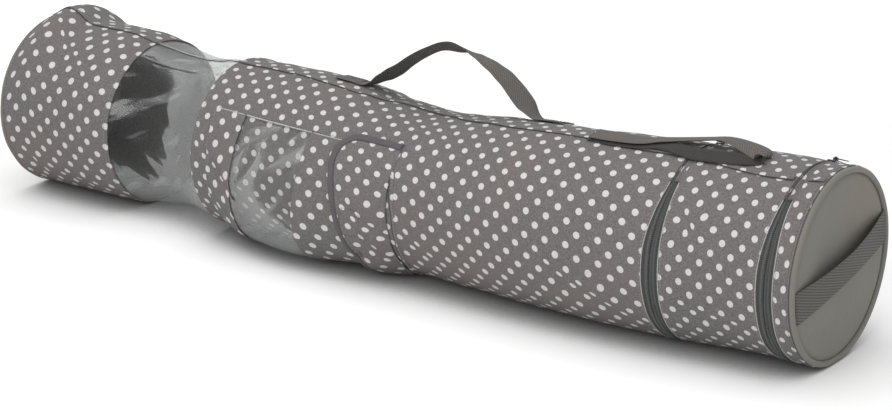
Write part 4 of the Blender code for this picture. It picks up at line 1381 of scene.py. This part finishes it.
def loop_handle():
    """Collapsed loop on the crest: its back run lies flat and its front run stands on edge."""
    left = station("loop_handle", 0) + LOOP_MARGIN
    run = station("loop_handle", 1) - LOOP_MARGIN - left
    table = LOOP_BACK + LOOP_FRONT
    points = curve_through([skin(left + run * share, angle, height)
                            for share, angle, height, _ in table])
    tilts = curve_through([Vector((row[-1], 0, 0)) for row in table])
    turns = [math.radians(tilt.x) for tilt in tilts]
    sideways = [Vector((0, math.cos(turn), math.sin(turn))) for turn in turns]
    # One face takes the much darker copy of the webbing: painted shade on the front run
    item = ribbon("loop_handle_webbing", points, sideways, LOOP_WIDTH, loop_painted_shade_webbing,
                  olive_webbing)
    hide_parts("loop_handle")
    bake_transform(item)


def lid_strap():
    """Wide grab strap across the lid, bowed out between its two sewn ends."""
    slope = math.radians(LID_STRAP_SLOPE)
    centre = axis_point(LENGTH)
    run = Vector((0, math.cos(slope), math.sin(slope)))
    across = Vector((0, -math.sin(slope), math.cos(slope)))
    inner_radius = RADIUS - 2 * PIPING_RADIUS + 0.0008
    half = math.sqrt(inner_radius ** 2 - (LID_STRAP_WIDTH / 2) ** 2)
    points = []
    sideways = []
    for share in steps(-1, 1, 2 / LID_STRAP_STEPS):
        bow = math.cos(share * math.pi / 2)
        point = centre + run * (half * share)
        rise = LID_STRAP_BOW * max(0.0, bow) ** 0.9
        point.x = LENGTH + BASE - DISC_SINK + WEBBING / 2 + rise
        points.append(point)
        sideways.append(across + Vector((LID_STRAP_TILT * bow, 0, 0)))
    item = ribbon("lid_strap_webbing", points, sideways, LID_STRAP_WIDTH, coarse_webbing,
                  coarse_webbing)
    hand_over(item, "lid", "olive_webbing", "lid_strap")


# Pocket


def pocket_rise(x, angle):
    """How far the bellows pocket stands off the bag."""
    x = min(POCKET_MOUTH, max(POCKET_START, x))
    if x < POCKET_FULL_AT:
        share = (x - POCKET_START) / (POCKET_FULL_AT - POCKET_START)
        rise = POCKET_RISE * math.sin(share * math.pi / 2)
    else:
        share = (x - POCKET_FULL_AT) / (POCKET_MOUTH - POCKET_FULL_AT)
        rise = POCKET_RISE + (POCKET_MOUTH_RISE - POCKET_RISE) * (1 - math.cos(share * math.pi)) / 2
    above = angle > POCKET_BELLY_ANGLE
    edge = POCKET_TOP_ANGLE if above else POCKET_LOW_ANGLE
    fall = (angle - POCKET_BELLY_ANGLE) / (edge - POCKET_BELLY_ANGLE)
    return rise * math.cos(min(1.0, fall) * math.pi / 2) ** (2 if above else 0.8)


def pocket_pleats(x, angle):
    """Slack folds of the pocket's dotted side strip."""
    wave = math.sin(math.radians(angle) * PLEAT_WAVES_AROUND + x * PLEAT_WAVES_ALONG)
    low = ease((20 - angle) / 40)
    side = ease((x - POCKET_START) / 0.012) * bump(x, POCKET_WINDOW_START - 0.012, 0.020)
    return PLEAT * low * wave * side


def pocket_place(x, angle, extra=0.0):
    """Point on the pocket, with some extra height over it."""
    lift = POCKET_LIFT + pocket_rise(x, angle) + pocket_pleats(x, angle)
    return skin(x, angle, lift + extra)


def pocket_cloth(name, start, end):
    """A dotted piece of the pocket; its lattice and its CAD node share its name."""
    reach = 0.003

    def place(x, angle):
        hem = hem_lift(x - start, reach) + hem_lift(end - x, reach)
        return pocket_place(x, angle, hem + FABRIC)
    item = sheet(name + "_cloth", edge_steps(start, end, reach),
                 steps(POCKET_LOW_ANGLE, POCKET_TOP_ANGLE, 1.8), place, cloth_map(name),
                 [dotted, lining], FABRIC)
    hand_over(item, "root", "dotted_fabric", name)


def pocket_window():
    """Clear middle of the pocket, slightly creased."""
    def place(x, angle):
        around = math.radians(angle) * RADIUS
        spot = Vector((x * 24 - around * 12, around * 22, 7.7))
        inside = ease((x - POCKET_WINDOW_START) / 0.012) * ease((POCKET_WINDOW_END - x) / 0.012)
        fold = -0.0030 * inside * (0.4 - abs(noise.noise(spot)))
        return pocket_place(x, angle, fold - 0.0002)
    us = steps(POCKET_WINDOW_START - POCKET_TUCK, POCKET_WINDOW_END + POCKET_TUCK, 0.0022)
    vs = steps(POCKET_LOW_ANGLE, POCKET_TOP_ANGLE, 1.2)
    item = sheet("pocket_window_vinyl", us, vs, place, plain_map, [vinyl], VINYL)
    hand_over(item, "root", "clear_vinyl", "pocket_window")


def pocket_mouth():
    """Binding along the pocket's mouth."""
    start = POCKET_MOUTH - BINDING_WIDTH

    def place(x, angle):
        crown = BINDING_CROWN * math.sin(math.pi * (x - start) / BINDING_WIDTH)
        return pocket_place(x, angle, FABRIC + crown)
    item = sheet("pocket_mouth_tape", steps(start, POCKET_MOUTH, HEM_STEP),
                 steps(POCKET_LOW_ANGLE, POCKET_TOP_ANGLE, 1.2), place, plain_map,
                 [binding_cloth], FABRIC)
    hand_over(item, "root", "dark_binding", "pocket_mouth_binding")


def pocket_edges():
    """Seams that sew the pocket down along its top and its side, with a pale bead along the top as
    a painted highlight.
    """
    along = steps(POCKET_START, POCKET_MOUTH, 0.005)
    # Pale bead along the pocket's top edge: painted highlight
    bead("pocket_top_highlight", [skin(x, POCKET_TOP_ANGLE - 0.4, 0.0012) for x in along], 0.0009,
         "root", material=hem_highlight)
    sew("pocket_top_stitches", skin_route([(x, POCKET_TOP_ANGLE + 1.2) for x in along]), "root")
    side = [(POCKET_START + 0.0006, angle)
            for angle in steps(POCKET_LOW_ANGLE, POCKET_TOP_ANGLE, ROW_ANGLE_STEP)]
    sew("pocket_side_stitches", skin_route(side, 0.0024), "root")


def pocket():
    """Bellows pocket on the front: side, window, front, mouth and seams."""
    pocket_cloth("pocket_side", POCKET_START, POCKET_WINDOW_START)
    pocket_cloth("pocket_front", POCKET_WINDOW_END, POCKET_MOUTH - BINDING_WIDTH + 0.002)
    pocket_window()
    pocket_mouth()
    pocket_edges()


# Flap


def flap_lift(x, angle):
    """The flap lies on the pocket and comes down to the bag at its hinge."""
    over_pocket = FLAP_OVER_POCKET + pocket_rise(min(x, POCKET_MOUTH), angle)
    share = min(1.0, max(0.0, (FLAP_HINGE - x) / (FLAP_HINGE - POCKET_MOUTH)))
    slack = sum(depth * dent(x, angle, *place) for depth, place in FLAP_DENTS)
    return FLAP_LIFT + (over_pocket - FLAP_LIFT) * math.sin(share * math.pi / 2) - slack


def on_flap(x, angle, height):
    """Point at a height over the flap."""
    return skin(x, angle, flap_lift(x, angle) + height)


def flap_edge(angle, inset):
    """Station of the flap's free edge at an angle, with rounded corners."""
    middle = (FLAP_TOP_ANGLE + POCKET_LOW_ANGLE) / 2
    half = math.radians((FLAP_TOP_ANGLE - POCKET_LOW_ANGLE) / 2) * RADIUS - inset
    corner = FLAP_CORNER - inset
    reach = FLAP_REACH - inset
    beyond = abs(math.radians(angle - middle)) * RADIUS - (half - corner)
    if beyond > 0:
        share = min(1.0, beyond / corner)
        reach -= corner * (1 - math.sqrt(1 - share * share))
    return FLAP_HINGE - reach


def slanted(x, angle):
    """The flap's free edge leans towards its hinge at the foot."""
    lean = FLAP_SLANT * max(0.0, FLAP_SLANT_FROM - angle)
    return x + lean * max(0.0, FLAP_HINGE - x) / FLAP_REACH


def flap_cloth():
    """The flap's dotted panel, from its hinge to the middle of its binding."""
    inset = BINDING_WIDTH / 2
    margin = math.degrees(inset / RADIUS)
    mapping = cloth_map("flap")

    def spot(share, angle):
        return slanted(FLAP_HINGE - (FLAP_HINGE - flap_edge(angle, inset)) * share, angle)

    def place(share, angle):
        return on_flap(spot(share, angle), angle, FABRIC)

    def uv_of(share, angle):
        return mapping(spot(share, angle), angle)
    angles = steps(POCKET_LOW_ANGLE + margin, FLAP_TOP_ANGLE - margin, 1.6)
    item = sheet("flap_cloth", steps(0, 1, 1 / FLAP_STEPS), angles, place, uv_of,
                 [dotted, lining], FABRIC, flip=True)
    hand_over(item, "flap", "dotted_fabric", "flap_panel")


def binding_route(inset):
    """Stations and angles along the flap's free outline, at an inset from it."""
    margin = math.degrees(inset / RADIUS)
    high = FLAP_TOP_ANGLE - margin
    low = POCKET_LOW_ANGLE + margin
    corner = FLAP_CORNER - inset
    corner_angle = math.degrees(corner / RADIUS)
    edge = FLAP_HINGE - FLAP_REACH + inset
    half = [(x, high) for x in steps(edge + corner, FLAP_HINGE - 0.0005, STEP)[::-1]]
    for index in range(1, FLAP_CORNER_STEPS):
        turn = math.pi / 2 * index / FLAP_CORNER_STEPS
        half.append((edge + corner - corner * math.sin(turn),
                     high - corner_angle * (1 - math.cos(turn))))
    sides = [(edge, angle) for angle in steps(low + corner_angle, high - corner_angle, 2)[::-1]]
    route = half + sides + [(x, high + low - angle) for x, angle in reversed(half)]
    return [(slanted(x, angle), angle) for x, angle in route]


def flap_binding():
    """Folded tape over the flap's edge: a rounded strip that wraps to its back."""
    routes = [binding_route(inset) for inset, _ in BINDING_PROFILE]

    def place(index, row):
        return on_flap(*routes[row][index], BINDING_PROFILE[row][1] - 0.0002)

    def uv_of(index, row):
        return plain_map(*routes[row][index])
    item = sheet("flap_binding_tape", range(len(routes[0])), range(len(routes)), place, uv_of,
                 [binding_cloth], TAPE)
    flip_outwards(item)
    hand_over(item, "flap", "dark_binding", "flap_binding")
    row = [(on_flap(x, angle, 0.0016), outward(angle))
           for x, angle in binding_route(BINDING_WIDTH - 0.0010)]
    sew("flap_binding_stitches", row, "flap", "dark_binding", dark_thread_and_groove_shade)


def flap_patch():
    """The two hook patches, and the square of stitches that shows where one is sewn on."""
    us = steps(PATCH_START, PATCH_END, 0.002)
    vs = steps(PATCH_LOW_ANGLE, PATCH_HIGH_ANGLE, 1.5)

    def under_flap(x, angle):
        return on_flap(x, angle, -FABRIC - 0.0001)

    def on_pocket(x, angle):
        return pocket_place(x, angle, FABRIC + 0.0022)
    for name, body, place in (("pocket_loop_patch", "root", on_pocket),
                              ("flap_hook_patch", "flap", under_flap)):
        item = sheet(name + "_tape", us, vs, place, plain_map, [hook_tape], PATCH_THICKNESS)
        hand_over(item, body, "hook_tape", name)
    row = [(on_flap(FLAP_HINGE + x, angle, FABRIC - 0.0001), outward(angle))
           for x, angle in between(PATCH_BOX, 10)]
    sew("flap_patch_stitches", row, "flap", material=dark_thread_and_groove_shade)


def flap_hinge():
    """Low hinge seam of the flap: a wavering fold, a dark bead that paints the shade in its groove,
    and a row of stitches.
    """
    angles = steps(POCKET_LOW_ANGLE - 4, FLAP_TOP_ANGLE + 1, 1.6)
    rises = dict(HINGE_PROFILE)
    mapping = cloth_map("body")

    def place(offset, angle):
        return skin(FLAP_HINGE + offset + read_route(HINGE_ROUTE, angle), angle, rises[offset])

    def uv_of(offset, angle):
        return mapping(FLAP_HINGE + offset, angle)
    item = sheet("flap_hinge_fold", list(rises), angles, place, uv_of, [dotted],
                 HINGE_THICKNESS)
    hand_over(item, "root", "dotted_fabric")
    # Dark bead along the fold: painted shade in the hinge's groove
    bead("flap_hinge_groove", [place(0.0, angle) for angle in angles], HINGE_GROOVE, "root")
    row = [(place(HINGE_STITCH_AT, angle), outward(angle)) for angle in angles]
    sew("flap_hinge_stitches", row, "root")


def flap():
    """The flap over the pocket's mouth, with all that is sewn to it."""
    flap_cloth()
    flap_binding()
    flap_patch()
    flap_hinge()


# Stage


def camera():
    """The photograph's view."""
    data = bpy.data.cameras.new("camera")
    data.lens = CAMERA_LENS
    data.sensor_width = 36
    item = bpy.data.objects.new("camera", data)
    item.location = CAMERA_PLACE
    item.rotation_euler = [math.radians(turn) for turn in CAMERA_TURN]
    bpy.context.scene.collection.objects.link(item)
    bpy.context.scene.camera = item


def area_light(name, place, target, size, power):
    """A soft rectangular light that points at a target."""
    data = bpy.data.lights.new(name, "AREA")
    data.shape = "RECTANGLE"
    data.size, data.size_y = size
    data.energy = power
    item = bpy.data.objects.new(name, data)
    item.location = place
    aim = Vector(target) - Vector(place)
    item.rotation_euler = aim.to_track_quat("-Z", "Y").to_euler()
    bpy.context.scene.collection.objects.link(item)


def lights():
    """Three soft lights, and a world that looks white but lights the bag less."""
    area_light("overhead", (-0.3, -0.2, 2.6), (0, 0, 0), (3.0, 2.4), 40)
    area_light("front", (0.5, -2.8, 1.7), (0, 0, 0.1), (2.6, 1.6), 40)
    area_light("lid_side", (3.0, -0.6, 1.1), (0.4, 0, 0.1), (1.6, 1.6), 13)
    world = bpy.data.worlds.new("studio")
    world.use_nodes = True
    nodes = Nodes(world.node_tree)
    rays = nodes.add("LightPath").outputs
    seen = nodes.math("MAXIMUM", rays["Is Camera Ray"], rays["Is Transmission Ray"])
    seen = nodes.math("MAXIMUM", seen, rays["Is Glossy Ray"])
    strength = nodes.add("MapRange", {"Value": seen, "To Min": WORLD_LIGHT, "To Max": 1.0})
    back = nodes.tree.nodes["Background"]
    nodes.link(WHITE, back.inputs["Color"])
    nodes.link(strength.outputs["Result"], back.inputs["Strength"])
    bpy.context.scene.world = world


def painted_floor_shadow_share(nodes):
    """Painted shadow: share of light that the floor keeps near the bag, by its openness to its
    surroundings.
    """
    nearby = nodes.add("AmbientOcclusion", {"Distance": SHADE_REACH}, samples=8)
    ramp = nodes.add("ValToRGB", {0: nearby.outputs["AO"]})
    stops = ramp.color_ramp.elements
    for openness, _ in SHADE_SHARES[1:-1]:
        stops.new(openness)
    for stop, (openness, share) in zip(stops, SHADE_SHARES):
        stop.position = openness
        stop.color = (share, share, share, 1)
    return nodes.math("ADD", ramp.outputs["Color"], 0.0)


def floor():
    """Pale floor that shows white where it is lit and keeps the shadow, with a painted shadow near
    the bag in its colour and glow.
    """
    bpy.ops.mesh.primitive_plane_add(size=FLOOR_SIZE, location=(0, 0, -FLOOR_DROP))
    item = bpy.context.object
    item.name = "floor"
    nodes = Surface("pale_floor")
    open_share = painted_floor_shadow_share(nodes)
    # Painted shadow: colour darkens towards the bag by ambient occlusion
    nodes.colour(nodes.mix(open_share, (0.10, 0.10, 0.10, 1), (0.9, 0.9, 0.9, 1)))
    nodes.finish(0.9, specular=0.1)
    place = nodes.add("NewGeometry").outputs["Position"]
    away = nodes.add("VectorMath", {0: place}, operation="LENGTH").outputs["Value"]
    far = nodes.remap(away, 0.75, 1.3, 0.08, 0.5)
    rays = nodes.add("LightPath").outputs
    seen = nodes.math("MAXIMUM", rays["Is Camera Ray"], rays["Is Transmission Ray"])
    strength = nodes.math("MULTIPLY", seen, nodes.math("MULTIPLY", far, open_share))
    glow = nodes.add("Emission", {"Color": WHITE, "Strength": strength})
    both = nodes.add("AddShader", {0: nodes.shader.outputs[0], 1: glow.outputs[0]})
    nodes.link(both.outputs[0], nodes.output.inputs[0])
    item.data.materials.append(nodes.material)


round_end("base", 0.0, 1, "root")
sleeve()
window()
body_tube()
top_seams()
zips()
ribbon_section()
lid()
pocket()
flap()
arch_handle()
loop_handle()
for node, finer in REPAINTED.items():
    repaint(node, finer)
camera()
lights()
floor()
bpy.context.scene.view_settings.view_transform = "Standard"
